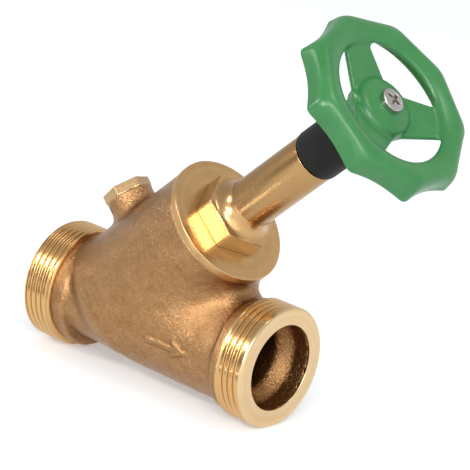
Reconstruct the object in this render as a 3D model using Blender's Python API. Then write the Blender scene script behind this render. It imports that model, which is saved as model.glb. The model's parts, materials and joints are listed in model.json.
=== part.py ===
"""Oblique globe valve, DN 25, with male G 1 1/4 threads: a bronze body whose branch leans 45 degrees
towards the outlet, a hexagon bonnet with a long neck, a stem that turns without rising, and a nine-lobed
handwheel.

Metres, +Z up. The origin is the centre of the inlet face, +X is the way of the flow, and the stem lies in
XZ. Stations along the run, the stem and the plug are measured on their own axes, from the point that each
empty marks.
"""

from math import cos, pi, radians, sin, sqrt

import bmesh
import bpy
from mathutils import Matrix

# Gap left between pieces that touch, how far a cutter passes a face, and the usual edge breaks
GAP = 0.0003
PASS = 0.0010
EDGE = 0.0003
CHAMFER = 0.0006

# Run, along +X from the inlet face
RUN_LENGTH = 0.100
CREST_RADIUS = 0.020955
ROOT_RADIUS = 0.019476
THREAD_PITCH = 0.002309
THREAD_TURNS = 5
GROOVE_SHARE = 5 / 6
INLET_CHAMFER = 0.0019
OUTLET_CHAMFER = 0.0006
THREADED_LENGTH = 0.0140
COLLAR_RADIUS = 0.0196
COLLAR_END = 0.0185
COLLAR_SLOPE = 0.0015
RUN_INLET_RADIUS = 0.0162
RUN_OUTLET_RADIUS = 0.0182
BORE_RADIUS = 0.0125
SOCKET_RADIUS = 0.0150
SOCKET_DEPTH = 0.0060
SOCKET_SHOULDER = 0.0025

# Branch and seat, along the stem axis from its crossing with the run
STEM_CROSSING = 0.02705
STEM_LEAN = radians(45)
BRANCH_RADIUS = 0.0220
BRANCH_TOP = 0.0570
BRANCH_DOME = 0.0078
BRANCH_DOME_STEPS = 5
CHAMBER_RADIUS = 0.0175
MOUTH_RADIUS = 0.0185
MOUTH_START = 0.0430
SEAL_RECESS_RADIUS = 0.0205
SEAL_RECESS_START = 0.0549
BRIDGE_BOTTOM = -0.0020
BRIDGE_TOP = 0.0035
SEAT_HOLE_RADIUS = 0.0120
SEAT_RECESS_RADIUS = 0.0143
SEAT_RECESS_START = 0.0005
SEAT_TOP = 0.0045
SEAT_BORE_RADIUS = 0.0115
WAY_IN_END = 0.0600
WAY_OUT_START = 0.0120

# Bonnet
FLANGE_RADIUS = 0.0224
FLANGE_TOP = 0.0596
BONNET_HEX_FLATS = 0.0240
BONNET_HEX_TOP = 0.0663
BONNET_HEX_TURN = radians(5)
NECK_RADIUS = 0.0086
NECK_START = 0.0705
CONE_WIDTH_SHARE = 0.75
CONE_STEPS = 4
NECK_TOP = 0.1042
SKIRT_RADIUS = 0.0165
SKIRT_START = 0.0340
GUIDE_FLATS = 0.0208
GUIDE_TOP = 0.0620
COLLAR_CHAMBER_RADIUS = 0.0076
COLLAR_CHAMBER_TOP = 0.0663
STEM_BORE_RADIUS = 0.0053
GLAND_RADIUS = 0.0070
GLAND_START = 0.0970
SHANK_START = 0.0460
SEAL_SECTION = 0.00085

# Stem
STEM_RADIUS = 0.0050
STEM_THREAD_RADIUS = 0.0055
STEM_TIP = 0.0350
STEM_THREAD_TOP = 0.0600
STEM_RELIEF_RADIUS = 0.0046
STEM_COLLAR_RADIUS = 0.0072
STEM_COLLAR = (0.0624, 0.0654)
STEM_SEAL_RADIUS = 0.0045
STEM_SEAL_SECTION = 0.00055
STEM_SEAL_STATIONS = (0.0907, 0.0943)
STEM_GROOVE_HALF = 0.0011
STEM_GROOVE_RADIUS = 0.0036
RING_GROOVE = (0.1050, 0.1064)
RING_GROOVE_RADIUS = 0.0042
RETAINING_RING_RADIUS = 0.0066
RETAINING_RING_MOUTH = 0.0030
WASHER_PLAY = 0.00025
BUSH_LENGTH = 0.0039
WIPER_LIP = 0.0007
SLIP_WASHER_THICKNESS = 0.0005
SQUARE_FLATS = 0.0070
SQUARE_START = 0.1250
STEM_END = 0.1368

# Disc, on its seat
WASHER_RADIUS = 0.0145
WASHER_THICKNESS = 0.0035
PLATE_RADIUS = 0.0155
PLATE_THICKNESS = 0.0030
PLATE_CHAMFER = 0.0012
CARRIER_FLATS = 0.0202
CARRIER_FLANGE_RADIUS = 0.0110
CARRIER_FLANGE_HEIGHT = 0.0030
CARRIER_NECK_RADIUS = 0.0089
CARRIER_HEX_START = 0.0219
CARRIER_TOP = 0.0500
CARRIER_BORE_START = 0.0230
WASHER_SCREW_RADIUS = 0.0024
WASHER_SCREW_END = 0.0200
WASHER_SCREW_HEAD_RADIUS = 0.0048
WASHER_SCREW_HEAD_HEIGHT = 0.0024
WASHER_SCREW_SLOT = 0.0010

# Sleeve and handwheel
SLEEVE_BOTTOM = 0.1045
SLEEVE_TOP = 0.1257
HUB_RADIUS = 0.0106
HUB_FOOT_RADIUS = 0.0088
HUB_BOTTOM = 0.1260
HUB_SHOULDER = 0.1310
HUB_EDGE_TOP = 0.1387
HUB_TOP = 0.1405
HUB_EDGE = 0.0012
RIM_LOBES = 9
RIM_BOTTOM_CORNER = 0.0333
RIM_BOTTOM_SCALLOP = 0.0018
RIM_TOP_CORNER = 0.0318
RIM_INNER_RADIUS = 0.0218
RIM_BOTTOM = 0.1343
RIM_TOP = 0.1435
RIM_EDGE = 0.0024
RIM_EDGE_BULGE = 0.3
RIM_TOP_FALL = 0.3
RIM_BEVEL = 0.0012
RIM_SHARES = (-0.93, -0.6, -0.2, 0.2, 0.6, 0.93)
LIP_EDGE_TOP = 0.1415
LIP_BOTTOM = 0.1401
GROOVE_RADIUS = 0.0266
GROOVE_MOUTH_RADIUS = 0.0276
RIM_TURN = radians(22.5)
SPOKES = 3
SPOKE_TURN = radians(62.5)
SPOKE_HALF_WIDTHS = (0.0083, 0.0053)
SPOKE_RADII = (0.0080, 0.0250)
SPOKE_TOPS = (0.1366, 0.1412)
SPOKE_THICKNESS = 0.0022
SCREW_HEAD_RADIUS = 0.0042
SCREW_TOP = 0.1423
SCREW_RADIUS = 0.0019
SCREW_END = 0.1240
RECESS_REACH = 0.0025
RECESS_HALF_WIDTH = 0.0005
RECESS_DEPTH = 0.0010
RECESS_TURN = radians(30)

# Drain plug, on an axis square to the stem that points up and back
PLUG_STATION = 0.0250
BOSS_RADIUS = 0.0081
BOSS_TOP = 0.0276
BOSS_FOOT = (0.0096, 0.0190)
BOSS_FLARE_TOP = 0.0240
PLUG_HOLE_RADIUS = 0.0050
PLUG_HOLE_START = 0.0140
PLUG_SEAL_RADIUS = 0.0069
PLUG_SEAL_START = 0.0266
PLUG_SEAL_THICKNESS = 0.0007
PLUG_HEX_FLATS = 0.0147
PLUG_HEX_HEIGHT = 0.0032
PLUG_HEX_TURN = radians(46)
PLUG_END = 0.0178

# Facets around a full turn
LARGE_ROUND = 36
MEDIUM_ROUND = 28
SMALL_ROUND = 20
RING_SIDES = 6

SHARP_ANGLE = radians(35)
MERGE_DISTANCE = 1e-7
HALF_SPACE = 0.2
AXIS_SIZE = 0.02


def clear_scene():
    for old in list(bpy.data.objects):
        bpy.data.objects.remove(old)


def material(name, colour, roughness, metallic):
    made = bpy.data.materials.new(name)
    made.use_nodes = True
    shader = made.node_tree.nodes["Principled BSDF"]
    shader.inputs["Base Color"].default_value = (*colour, 1.0)
    shader.inputs["Roughness"].default_value = roughness
    shader.inputs["Metallic"].default_value = metallic
    made.diffuse_color = (*colour, 1.0)
    return made


def axis_empty(name, location, lean):
    """An empty whose local Z is an axis of the valve."""
    empty = bpy.data.objects.new(name, None)
    empty.empty_display_size = AXIS_SIZE
    empty.location = location
    empty.rotation_euler = (0.0, lean, 0.0)
    bpy.context.scene.collection.objects.link(empty)
    return empty


def put(name, bm, axis, finish=None):
    """Makes an object of a bmesh on one of the axes. Without a finish it is a hidden helper."""
    bmesh.ops.remove_doubles(bm, verts=bm.verts, dist=MERGE_DISTANCE)
    bmesh.ops.recalc_face_normals(bm, faces=bm.faces)
    mesh = bpy.data.meshes.new(name)
    bm.to_mesh(mesh)
    bm.free()
    mesh.shade_smooth()
    mesh.set_sharp_from_angle(angle=SHARP_ANGLE)
    obj = bpy.data.objects.new(name, mesh)
    obj.parent = axis
    bpy.context.scene.collection.objects.link(obj)
    if finish is None:
        obj.hide_render = True
        obj.display_type = "WIRE"
    else:
        mesh.materials.append(finish)
    return obj


def turned(outline, segments):
    """A solid turned about local Z from (radius, station) points, a ring or a line that ends on the axis."""
    bm = bmesh.new()
    points = [bm.verts.new((r, 0.0, s)) for r, s in outline]
    edges = [bm.edges.new(pair) for pair in zip(points, points[1:])]
    if outline[0][0] > 0.0:
        edges.append(bm.edges.new((points[-1], points[0])))
    bmesh.ops.spin(
        bm,
        geom=points + edges,
        cent=(0, 0, 0),
        axis=(0, 0, 1),
        angle=2 * pi,
        steps=segments,
        use_merge=True,
    )
    return bm


def tube(inner, outer, bottom, top, segments):
    return turned([(inner, bottom), (outer, bottom), (outer, top), (inner, top)], segments)


def rod(radius, bottom, top, segments):
    return turned([(0.0, bottom), (radius, bottom), (radius, top), (0.0, top)], segments)


def ring(radius, section, station, segments):
    """A ring of round section."""
    outline = []
    for i in range(RING_SIDES):
        turn = 2 * pi * i / RING_SIDES
        outline.append((radius + section * cos(turn), station + section * sin(turn)))
    return turned(outline, segments)


def prism(sides, flats, bottom, top, turn=0.0):
    """A prism with its first corner at the given turn."""
    bm = bmesh.new()
    corner = flats / 2 / cos(pi / sides)
    place = Matrix.Translation((0, 0, (bottom + top) / 2)) @ Matrix.Rotation(turn, 4, "Z")
    # The cone tool's first corner is on local Y
    place = place @ Matrix.Rotation(-pi / 2, 4, "Z")
    bmesh.ops.create_cone(
        bm,
        cap_ends=True,
        segments=sides,
        radius1=corner,
        radius2=corner,
        depth=top - bottom,
        matrix=place,
    )
    return bm


def block(low, high):
    bm = bmesh.new()
    size = [b - a for a, b in zip(low, high)]
    middle = [(a + b) / 2 for a, b in zip(low, high)]
    bmesh.ops.create_cube(bm, size=1.0, matrix=Matrix.Translation(middle) @ Matrix.Diagonal((*size, 1.0)))
    return bm


def combine(obj, other, operation):
    step = obj.modifiers.new(f"{operation.lower()} {other.name}", "BOOLEAN")
    step.operation = operation
    step.solver = "EXACT"
    step.object = other


def arc(centre, radius, start, stop, steps):
    """Points of a circular arc in (radius, station) terms, angles from the radial direction."""
    points = []
    for i in range(steps + 1):
        turn = start + (stop - start) * i / steps
        points.append((centre[0] + radius * cos(turn), centre[1] + radius * sin(turn)))
    return points


def thread_outline(start, end):
    """The thread's section between two stations: one groove for each turn stands in for the helix."""
    half_groove = THREAD_PITCH * GROOVE_SHARE / 2
    margin = (end - start - THREAD_TURNS * THREAD_PITCH) / 2
    points = []
    for i in range(THREAD_TURNS):
        middle = start + margin + (i + 0.5) * THREAD_PITCH
        points.append((CREST_RADIUS, middle - half_groove))
        points.append((ROOT_RADIUS, middle))
        points.append((CREST_RADIUS, middle + half_groove))
    return points


def run_outline():
    """Outside of the run from inlet to outlet: thread, cast collar, tapered pipe, thread."""
    far = RUN_LENGTH
    outlet_thread = far - THREADED_LENGTH
    points = [(0.0, 0.0), (CREST_RADIUS - INLET_CHAMFER, 0.0), (CREST_RADIUS, INLET_CHAMFER)]
    points += thread_outline(INLET_CHAMFER, THREADED_LENGTH)
    points += [(CREST_RADIUS, THREADED_LENGTH), (COLLAR_RADIUS, THREADED_LENGTH + CHAMFER)]
    points += [(COLLAR_RADIUS - CHAMFER, COLLAR_END - COLLAR_SLOPE), (RUN_INLET_RADIUS, COLLAR_END)]
    points += [(RUN_OUTLET_RADIUS, outlet_thread - PASS)]
    points += [(CREST_RADIUS - CHAMFER, outlet_thread), (CREST_RADIUS, outlet_thread + CHAMFER)]
    points += thread_outline(outlet_thread + CHAMFER, far - OUTLET_CHAMFER)
    points += [(CREST_RADIUS, far - OUTLET_CHAMFER), (CREST_RADIUS - OUTLET_CHAMFER, far), (0.0, far)]
    return points


def branch_outline():
    """The branch with a flattened dome at its lower end, where it sinks into the run."""
    points = [(0.0, -BRANCH_DOME)]
    for r, s in arc((0.0, 0.0), 1.0, -pi / 2, 0.0, BRANCH_DOME_STEPS)[1:]:
        points.append((BRANCH_RADIUS * r, BRANCH_DOME * s))
    points += [(BRANCH_RADIUS, BRANCH_TOP - EDGE), (BRANCH_RADIUS - EDGE, BRANCH_TOP), (0.0, BRANCH_TOP)]
    return points


def build_body(run_axis, stem_axis, plug_axis, finish):
    body = put("valve_body", turned(run_outline(), LARGE_ROUND), run_axis, finish)
    branch = put("branch_shape", turned(branch_outline(), LARGE_ROUND), stem_axis)
    boss_outline = [(0.0, BOSS_FOOT[1]), BOSS_FOOT, (BOSS_RADIUS, BOSS_FLARE_TOP)]
    boss_outline += [(BOSS_RADIUS, BOSS_TOP - EDGE), (BOSS_RADIUS - EDGE, BOSS_TOP), (0.0, BOSS_TOP)]
    boss = put("boss_shape", turned(boss_outline, SMALL_ROUND), plug_axis)
    combine(body, branch, "UNION")
    combine(body, boss, "UNION")

    # Way in: socket and bore, up to the underside of the sloping bridge
    way_in_outline = [(0.0, -PASS), (SOCKET_RADIUS, -PASS), (SOCKET_RADIUS, SOCKET_DEPTH)]
    way_in_outline += [(BORE_RADIUS, SOCKET_DEPTH + SOCKET_SHOULDER)]
    way_in_outline += [(BORE_RADIUS, WAY_IN_END), (0.0, WAY_IN_END)]
    way_in = put("way_in", turned(way_in_outline, MEDIUM_ROUND), run_axis)
    below = block((-HALF_SPACE, -HALF_SPACE, -HALF_SPACE), (HALF_SPACE, HALF_SPACE, BRIDGE_BOTTOM))
    combine(way_in, put("under_bridge", below, stem_axis), "INTERSECT")

    # Way out: bore and socket, from just over the bridge, which the chamber cuts level
    socket_end = RUN_LENGTH - SOCKET_DEPTH
    past = RUN_LENGTH + PASS
    way_out_outline = [(0.0, WAY_OUT_START), (BORE_RADIUS, WAY_OUT_START)]
    way_out_outline += [(BORE_RADIUS, socket_end - SOCKET_SHOULDER), (SOCKET_RADIUS, socket_end)]
    way_out_outline += [(SOCKET_RADIUS, past), (0.0, past)]
    way_out = put("way_out", turned(way_out_outline, MEDIUM_ROUND), run_axis)
    above = block((-HALF_SPACE, -HALF_SPACE, BRIDGE_TOP + EDGE), (HALF_SPACE, HALF_SPACE, HALF_SPACE))
    combine(way_out, put("over_bridge", above, stem_axis), "INTERSECT")

    past = BRANCH_TOP + PASS
    chamber_outline = [(0.0, BRIDGE_TOP), (CHAMBER_RADIUS, BRIDGE_TOP), (CHAMBER_RADIUS, MOUTH_START)]
    chamber_outline += [(MOUTH_RADIUS, MOUTH_START + CHAMFER), (MOUTH_RADIUS, SEAL_RECESS_START)]
    chamber_outline += [(SEAL_RECESS_RADIUS, SEAL_RECESS_START), (SEAL_RECESS_RADIUS, past), (0.0, past)]
    low = BRIDGE_BOTTOM - PASS
    high = BRIDGE_TOP + PASS
    seat_outline = [(0.0, low), (SEAT_HOLE_RADIUS, low), (SEAT_HOLE_RADIUS, SEAT_RECESS_START)]
    seat_outline += [(SEAT_RECESS_RADIUS, SEAT_RECESS_START), (SEAT_RECESS_RADIUS, high), (0.0, high)]
    past = BOSS_TOP + PASS
    seal_recess = PLUG_SEAL_RADIUS + GAP
    plug_outline = [(0.0, PLUG_HOLE_START), (PLUG_HOLE_RADIUS, PLUG_HOLE_START)]
    plug_outline += [(PLUG_HOLE_RADIUS, PLUG_SEAL_START), (seal_recess, PLUG_SEAL_START)]
    plug_outline += [(seal_recess, past), (0.0, past)]
    cutters = [
        way_in,
        way_out,
        put("chamber", turned(chamber_outline, MEDIUM_ROUND), stem_axis),
        put("seat_hole", turned(seat_outline, MEDIUM_ROUND), stem_axis),
        put("plug_hole", turned(plug_outline, MEDIUM_ROUND), plug_axis),
    ]
    for cutter in cutters:
        combine(body, cutter, "DIFFERENCE")


def build_seat(stem_axis, finish):
    low = SEAT_RECESS_START + GAP
    outer = SEAT_RECESS_RADIUS - GAP
    outline = [
        (SEAT_BORE_RADIUS, low),
        (outer, low),
        (outer, SEAT_TOP - CHAMFER),
        (outer - CHAMFER, SEAT_TOP),
        (SEAT_BORE_RADIUS + CHAMFER, SEAT_TOP),
        (SEAT_BORE_RADIUS, SEAT_TOP - CHAMFER),
    ]
    put("seat_ring", turned(outline, MEDIUM_ROUND), stem_axis, finish)


def build_bonnet(stem_axis, finish, seal_finish):
    shank = MOUTH_RADIUS - GAP
    under = BRANCH_TOP + GAP
    pilot = GUIDE_FLATS / 2 - CHAMFER
    cone_height = NECK_START - BONNET_HEX_TOP
    cone_width = cone_height * CONE_WIDTH_SHARE
    outline = [
        (pilot, SKIRT_START),
        (SKIRT_RADIUS, SKIRT_START),
        (SKIRT_RADIUS, SHANK_START - COLLAR_SLOPE),
        (shank, SHANK_START),
        (shank, under),
        (FLANGE_RADIUS - EDGE, under),
        (FLANGE_RADIUS, under + EDGE),
        (FLANGE_RADIUS, FLANGE_TOP - EDGE),
        (FLANGE_RADIUS - EDGE, FLANGE_TOP),
        (NECK_RADIUS + cone_height, FLANGE_TOP),
    ]
    # Hollow turned cone from just over the hexagon up to the neck
    for r, s in arc((1.0, 0.0), 1.0, radians(-90), radians(-180), CONE_STEPS):
        outline.append((NECK_RADIUS + cone_width * r, NECK_START + (cone_height - EDGE) * s))
    outline += [
        (NECK_RADIUS, NECK_TOP - EDGE),
        (NECK_RADIUS - EDGE, NECK_TOP),
        (GLAND_RADIUS, NECK_TOP),
        (GLAND_RADIUS, GLAND_START),
        (STEM_BORE_RADIUS, GLAND_START),
        (STEM_BORE_RADIUS, COLLAR_CHAMBER_TOP),
        (COLLAR_CHAMBER_RADIUS, COLLAR_CHAMBER_TOP),
        (COLLAR_CHAMBER_RADIUS, GUIDE_TOP),
        (pilot, GUIDE_TOP),
    ]
    bonnet = put("bonnet", turned(outline, LARGE_ROUND), stem_axis, finish)
    hexagon = prism(6, BONNET_HEX_FLATS, FLANGE_TOP - PASS, BONNET_HEX_TOP, BONNET_HEX_TURN)
    nut = put("hexagon_shape", hexagon, stem_axis)
    nut_bore_start = GUIDE_TOP - 2 * PASS - COLLAR_SLOPE
    nut_bore = rod(COLLAR_CHAMBER_RADIUS + PASS, nut_bore_start, NECK_START, MEDIUM_ROUND)
    combine(nut, put("hexagon_bore", nut_bore, stem_axis), "DIFFERENCE")
    combine(bonnet, nut, "UNION")
    guide = prism(6, GUIDE_FLATS, SKIRT_START - PASS, GUIDE_TOP, BONNET_HEX_TURN)
    combine(bonnet, put("guide_bore", guide, stem_axis), "DIFFERENCE")

    seal_radius = (shank + SEAL_RECESS_RADIUS) / 2
    seal_station = (SEAL_RECESS_START + under) / 2
    put("bonnet_seal", ring(seal_radius, SEAL_SECTION, seal_station, LARGE_ROUND), stem_axis, seal_finish)


def build_stem(stem_axis, finish):
    low_collar, high_collar = STEM_COLLAR
    outline = [
        (0.0, STEM_TIP),
        (STEM_THREAD_RADIUS - CHAMFER, STEM_TIP),
        (STEM_THREAD_RADIUS, STEM_TIP + CHAMFER),
        (STEM_THREAD_RADIUS, STEM_THREAD_TOP),
        (STEM_RELIEF_RADIUS, STEM_THREAD_TOP),
        (STEM_RELIEF_RADIUS, low_collar),
        (STEM_COLLAR_RADIUS, low_collar),
        (STEM_COLLAR_RADIUS, high_collar),
        (STEM_RADIUS, high_collar),
    ]
    half = STEM_GROOVE_HALF
    grooves = [(at - half, at + half, STEM_GROOVE_RADIUS) for at in STEM_SEAL_STATIONS]
    grooves.append((*RING_GROOVE, RING_GROOVE_RADIUS))
    for low, high, radius in grooves:
        outline += [(STEM_RADIUS, low), (radius, low), (radius, high), (STEM_RADIUS, high)]
    outline += [(STEM_RADIUS, SQUARE_START), (0.0, SQUARE_START)]
    stem = put("stem", turned(outline, SMALL_ROUND), stem_axis, finish)
    square = prism(4, SQUARE_FLATS, SQUARE_START - PASS, STEM_END, SPOKE_TURN)
    combine(stem, put("square_shape", square, stem_axis), "UNION")
    screw_hole = rod(SCREW_RADIUS + GAP, SCREW_END - PASS, STEM_END + PASS, SMALL_ROUND)
    combine(stem, put("stem_screw_hole", screw_hole, stem_axis), "DIFFERENCE")


def build_stem_rings(stem_axis, rubber, plastic, brass, steel):
    for name, station in zip(("lower_stem_seal", "upper_stem_seal"), STEM_SEAL_STATIONS):
        put(name, ring(STEM_SEAL_RADIUS, STEM_SEAL_SECTION, station, SMALL_ROUND), stem_axis, rubber)
    washer_bottom = STEM_COLLAR[1] + WASHER_PLAY
    washer_top = COLLAR_CHAMBER_TOP - WASHER_PLAY
    washer = tube(STEM_BORE_RADIUS, STEM_COLLAR_RADIUS, washer_bottom, washer_top, SMALL_ROUND)
    put("lower_thrust_washer", washer, stem_axis, plastic)
    in_gland = GLAND_RADIUS - GAP
    bush_bottom = GLAND_START + GAP
    bush_top = bush_bottom + BUSH_LENGTH
    bush = tube(STEM_BORE_RADIUS, in_gland, bush_bottom, bush_top, SMALL_ROUND)
    put("gland_bush", bush, stem_axis, brass)
    wiper_outline = [
        (STEM_BORE_RADIUS + EDGE, bush_top + GAP),
        (in_gland, bush_top + GAP),
        (in_gland, NECK_TOP - CHAMFER),
        (STEM_BORE_RADIUS + WIPER_LIP, NECK_TOP - CHAMFER),
        (STEM_BORE_RADIUS, NECK_TOP - EDGE),
    ]
    put("wiper_ring", turned(wiper_outline, SMALL_ROUND), stem_axis, rubber)
    slip_bottom = NECK_TOP + GAP
    slip = tube(STEM_BORE_RADIUS, in_gland, slip_bottom, slip_bottom + SLIP_WASHER_THICKNESS, SMALL_ROUND)
    put("upper_thrust_washer", slip, stem_axis, plastic)
    low, high = RING_GROOVE
    clip = tube(RING_GROOVE_RADIUS + GAP, RETAINING_RING_RADIUS, low + GAP, high - GAP, SMALL_ROUND)
    clip = put("retaining_ring", clip, stem_axis, steel)
    side = RETAINING_RING_MOUTH / 2
    mouth_reach = RETAINING_RING_RADIUS + PASS
    mouth = block((RING_GROOVE_RADIUS - PASS, -side, low - PASS), (mouth_reach, side, high + PASS))
    combine(clip, put("clip_mouth", mouth, stem_axis), "DIFFERENCE")


def build_disc(stem_axis, brass, steel, rubber):
    """The disc at its seat: screw, washer, plate and carrier, from below."""
    washer_bottom = SEAT_TOP + GAP
    washer_top = washer_bottom + WASHER_THICKNESS
    plate_bottom = washer_top + GAP
    plate_top = plate_bottom + PLATE_THICKNESS
    carrier_bottom = plate_top + GAP
    hole = WASHER_SCREW_RADIUS + GAP
    head_top = washer_bottom - GAP
    head_bottom = head_top - WASHER_SCREW_HEAD_HEIGHT
    screw_outline = [
        (0.0, head_bottom),
        (WASHER_SCREW_HEAD_RADIUS - CHAMFER, head_bottom),
        (WASHER_SCREW_HEAD_RADIUS, head_bottom + CHAMFER),
        (WASHER_SCREW_HEAD_RADIUS, head_top),
        (WASHER_SCREW_RADIUS, head_top),
        (WASHER_SCREW_RADIUS, WASHER_SCREW_END),
        (0.0, WASHER_SCREW_END),
    ]
    screw = put("washer_screw", turned(screw_outline, SMALL_ROUND), stem_axis, steel)
    reach = WASHER_SCREW_HEAD_RADIUS + PASS
    side = WASHER_SCREW_SLOT / 2
    slot = block((-reach, -side, head_bottom - PASS), (reach, side, head_bottom + WASHER_SCREW_SLOT))
    combine(screw, put("screw_slot", slot, stem_axis), "DIFFERENCE")
    washer = tube(hole, WASHER_RADIUS, washer_bottom, washer_top, MEDIUM_ROUND)
    put("seat_washer", washer, stem_axis, rubber)
    plate_outline = [
        (hole, plate_bottom),
        (PLATE_RADIUS, plate_bottom),
        (PLATE_RADIUS, plate_top - PLATE_CHAMFER),
        (PLATE_RADIUS - PLATE_CHAMFER, plate_top),
        (hole, plate_top),
    ]
    put("disc_plate", turned(plate_outline, MEDIUM_ROUND), stem_axis, brass)
    bore = STEM_THREAD_RADIUS + GAP
    flange_top = carrier_bottom + CARRIER_FLANGE_HEIGHT
    carrier_outline = [
        (0.0, WASHER_SCREW_END + PASS),
        (hole, WASHER_SCREW_END + PASS),
        (hole, carrier_bottom),
        (CARRIER_FLANGE_RADIUS, carrier_bottom),
        (CARRIER_FLANGE_RADIUS, flange_top),
        (CARRIER_NECK_RADIUS, flange_top + PLATE_CHAMFER),
        (CARRIER_NECK_RADIUS, CARRIER_TOP),
        (bore, CARRIER_TOP),
        (bore, CARRIER_BORE_START),
        (0.0, CARRIER_BORE_START),
    ]
    carrier = put("disc_carrier", turned(carrier_outline, MEDIUM_ROUND), stem_axis, brass)
    hexagon = prism(6, CARRIER_FLATS, CARRIER_HEX_START, CARRIER_TOP - CHAMFER, BONNET_HEX_TURN)
    hexagon = put("carrier_hexagon", hexagon, stem_axis)
    inside = rod(bore + PASS, carrier_bottom, CARRIER_TOP + PASS, MEDIUM_ROUND)
    combine(hexagon, put("carrier_inside", inside, stem_axis), "DIFFERENCE")
    combine(carrier, hexagon, "UNION")


def build_sleeve(stem_axis, finish):
    recess = GLAND_RADIUS + GAP
    recess_top = RING_GROOVE[1] + PASS
    outline = [
        (recess, SLEEVE_BOTTOM),
        (NECK_RADIUS - EDGE, SLEEVE_BOTTOM),
        (NECK_RADIUS, SLEEVE_BOTTOM + EDGE),
        (NECK_RADIUS, SLEEVE_TOP),
        (STEM_BORE_RADIUS, SLEEVE_TOP),
        (STEM_BORE_RADIUS, recess_top),
        (recess, recess_top),
    ]
    put("spacer_sleeve", turned(outline, MEDIUM_ROUND), stem_axis, finish)


def lobe_radius(turn, corner, scallop):
    """An outer radius of the rim: a curve between nine corners, a chord less a parabola."""
    half = pi / RIM_LOBES
    offset = (turn - RIM_TURN) % (2 * half) - half
    return corner * cos(half) / cos(offset) - scallop * (1 - (offset / half) ** 2)


def rim_section(bottom, top):
    """The rim's section as (radius, station): outer wall, round edge, top falling to a thin lip, groove."""
    bulge = RIM_EDGE * RIM_EDGE_BULGE
    middle = (RIM_INNER_RADIUS + GROOVE_RADIUS) / 2
    return [
        (bottom, RIM_BOTTOM),
        (top, RIM_TOP - RIM_EDGE),
        (top - bulge, RIM_TOP - bulge),
        (top - RIM_EDGE, RIM_TOP),
        (middle, RIM_TOP - (RIM_TOP - LIP_EDGE_TOP) * RIM_TOP_FALL),
        (RIM_INNER_RADIUS + EDGE, LIP_EDGE_TOP),
        (RIM_INNER_RADIUS, LIP_EDGE_TOP - EDGE),
        (RIM_INNER_RADIUS + EDGE, LIP_BOTTOM),
        (GROOVE_RADIUS - CHAMFER, LIP_BOTTOM),
        (GROOVE_RADIUS, LIP_BOTTOM - CHAMFER),
        (GROOVE_MOUTH_RADIUS, RIM_BOTTOM + RIM_BEVEL),
    ]


def rim():
    """The rim's section carried round the nine lobes, with close points at each blunt corner."""
    bm = bmesh.new()
    half = pi / RIM_LOBES
    rows = []
    for lobe in range(RIM_LOBES):
        for share in RIM_SHARES:
            turn = RIM_TURN + half * (2 * lobe + 1 + share)
            bottom = lobe_radius(turn, RIM_BOTTOM_CORNER, RIM_BOTTOM_SCALLOP)
            section = rim_section(bottom, lobe_radius(turn, RIM_TOP_CORNER, 0.0))
            rows.append([bm.verts.new((r * cos(turn), r * sin(turn), s)) for r, s in section])
    for row, following in zip(rows, rows[1:] + rows[:1]):
        for i in range(len(row)):
            j = (i + 1) % len(row)
            bm.faces.new((row[i], following[i], following[j], row[j]))
    return bm


def spoke(turn):
    """A tapered bar that climbs from the hub to the underside of the rim."""
    bm = bmesh.new()
    corners = []
    for radius, half_width, top in zip(SPOKE_RADII, SPOKE_HALF_WIDTHS, SPOKE_TOPS):
        for station in (top - SPOKE_THICKNESS, top):
            for side in (-half_width, half_width):
                x = radius * cos(turn) - side * sin(turn)
                y = radius * sin(turn) + side * cos(turn)
                corners.append(bm.verts.new((x, y, station)))
    for face in ((0, 1, 3, 2), (4, 5, 7, 6), (0, 1, 5, 4), (2, 3, 7, 6), (0, 2, 6, 4), (1, 3, 7, 5)):
        bm.faces.new([corners[i] for i in face])
    return bm


def build_handwheel(stem_axis, finish):
    wheel = put("handwheel", rim(), stem_axis, finish)
    for i in range(SPOKES):
        arm = put(f"spoke_shape_{i + 1}", spoke(SPOKE_TURN + 2 * pi * i / SPOKES), stem_axis)
        combine(wheel, arm, "UNION")
    hub_outline = [
        (0.0, HUB_BOTTOM),
        (HUB_FOOT_RADIUS, HUB_BOTTOM),
        (HUB_FOOT_RADIUS, HUB_SHOULDER),
        (HUB_RADIUS, HUB_SHOULDER + HUB_EDGE),
        (HUB_RADIUS, HUB_EDGE_TOP - HUB_EDGE),
        (HUB_RADIUS - HUB_EDGE, HUB_EDGE_TOP),
        (SCREW_HEAD_RADIUS + GAP, HUB_TOP),
        (0.0, HUB_TOP),
    ]
    combine(wheel, put("hub_shape", turned(hub_outline, MEDIUM_ROUND), stem_axis), "UNION")
    socket = prism(4, SQUARE_FLATS + 2 * GAP, HUB_BOTTOM - PASS, STEM_END + GAP, SPOKE_TURN)
    combine(wheel, put("hub_socket", socket, stem_axis), "DIFFERENCE")
    hole = rod(SCREW_RADIUS + GAP, HUB_BOTTOM, HUB_TOP + PASS, SMALL_ROUND)
    combine(wheel, put("hub_screw_hole", hole, stem_axis), "DIFFERENCE")


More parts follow.
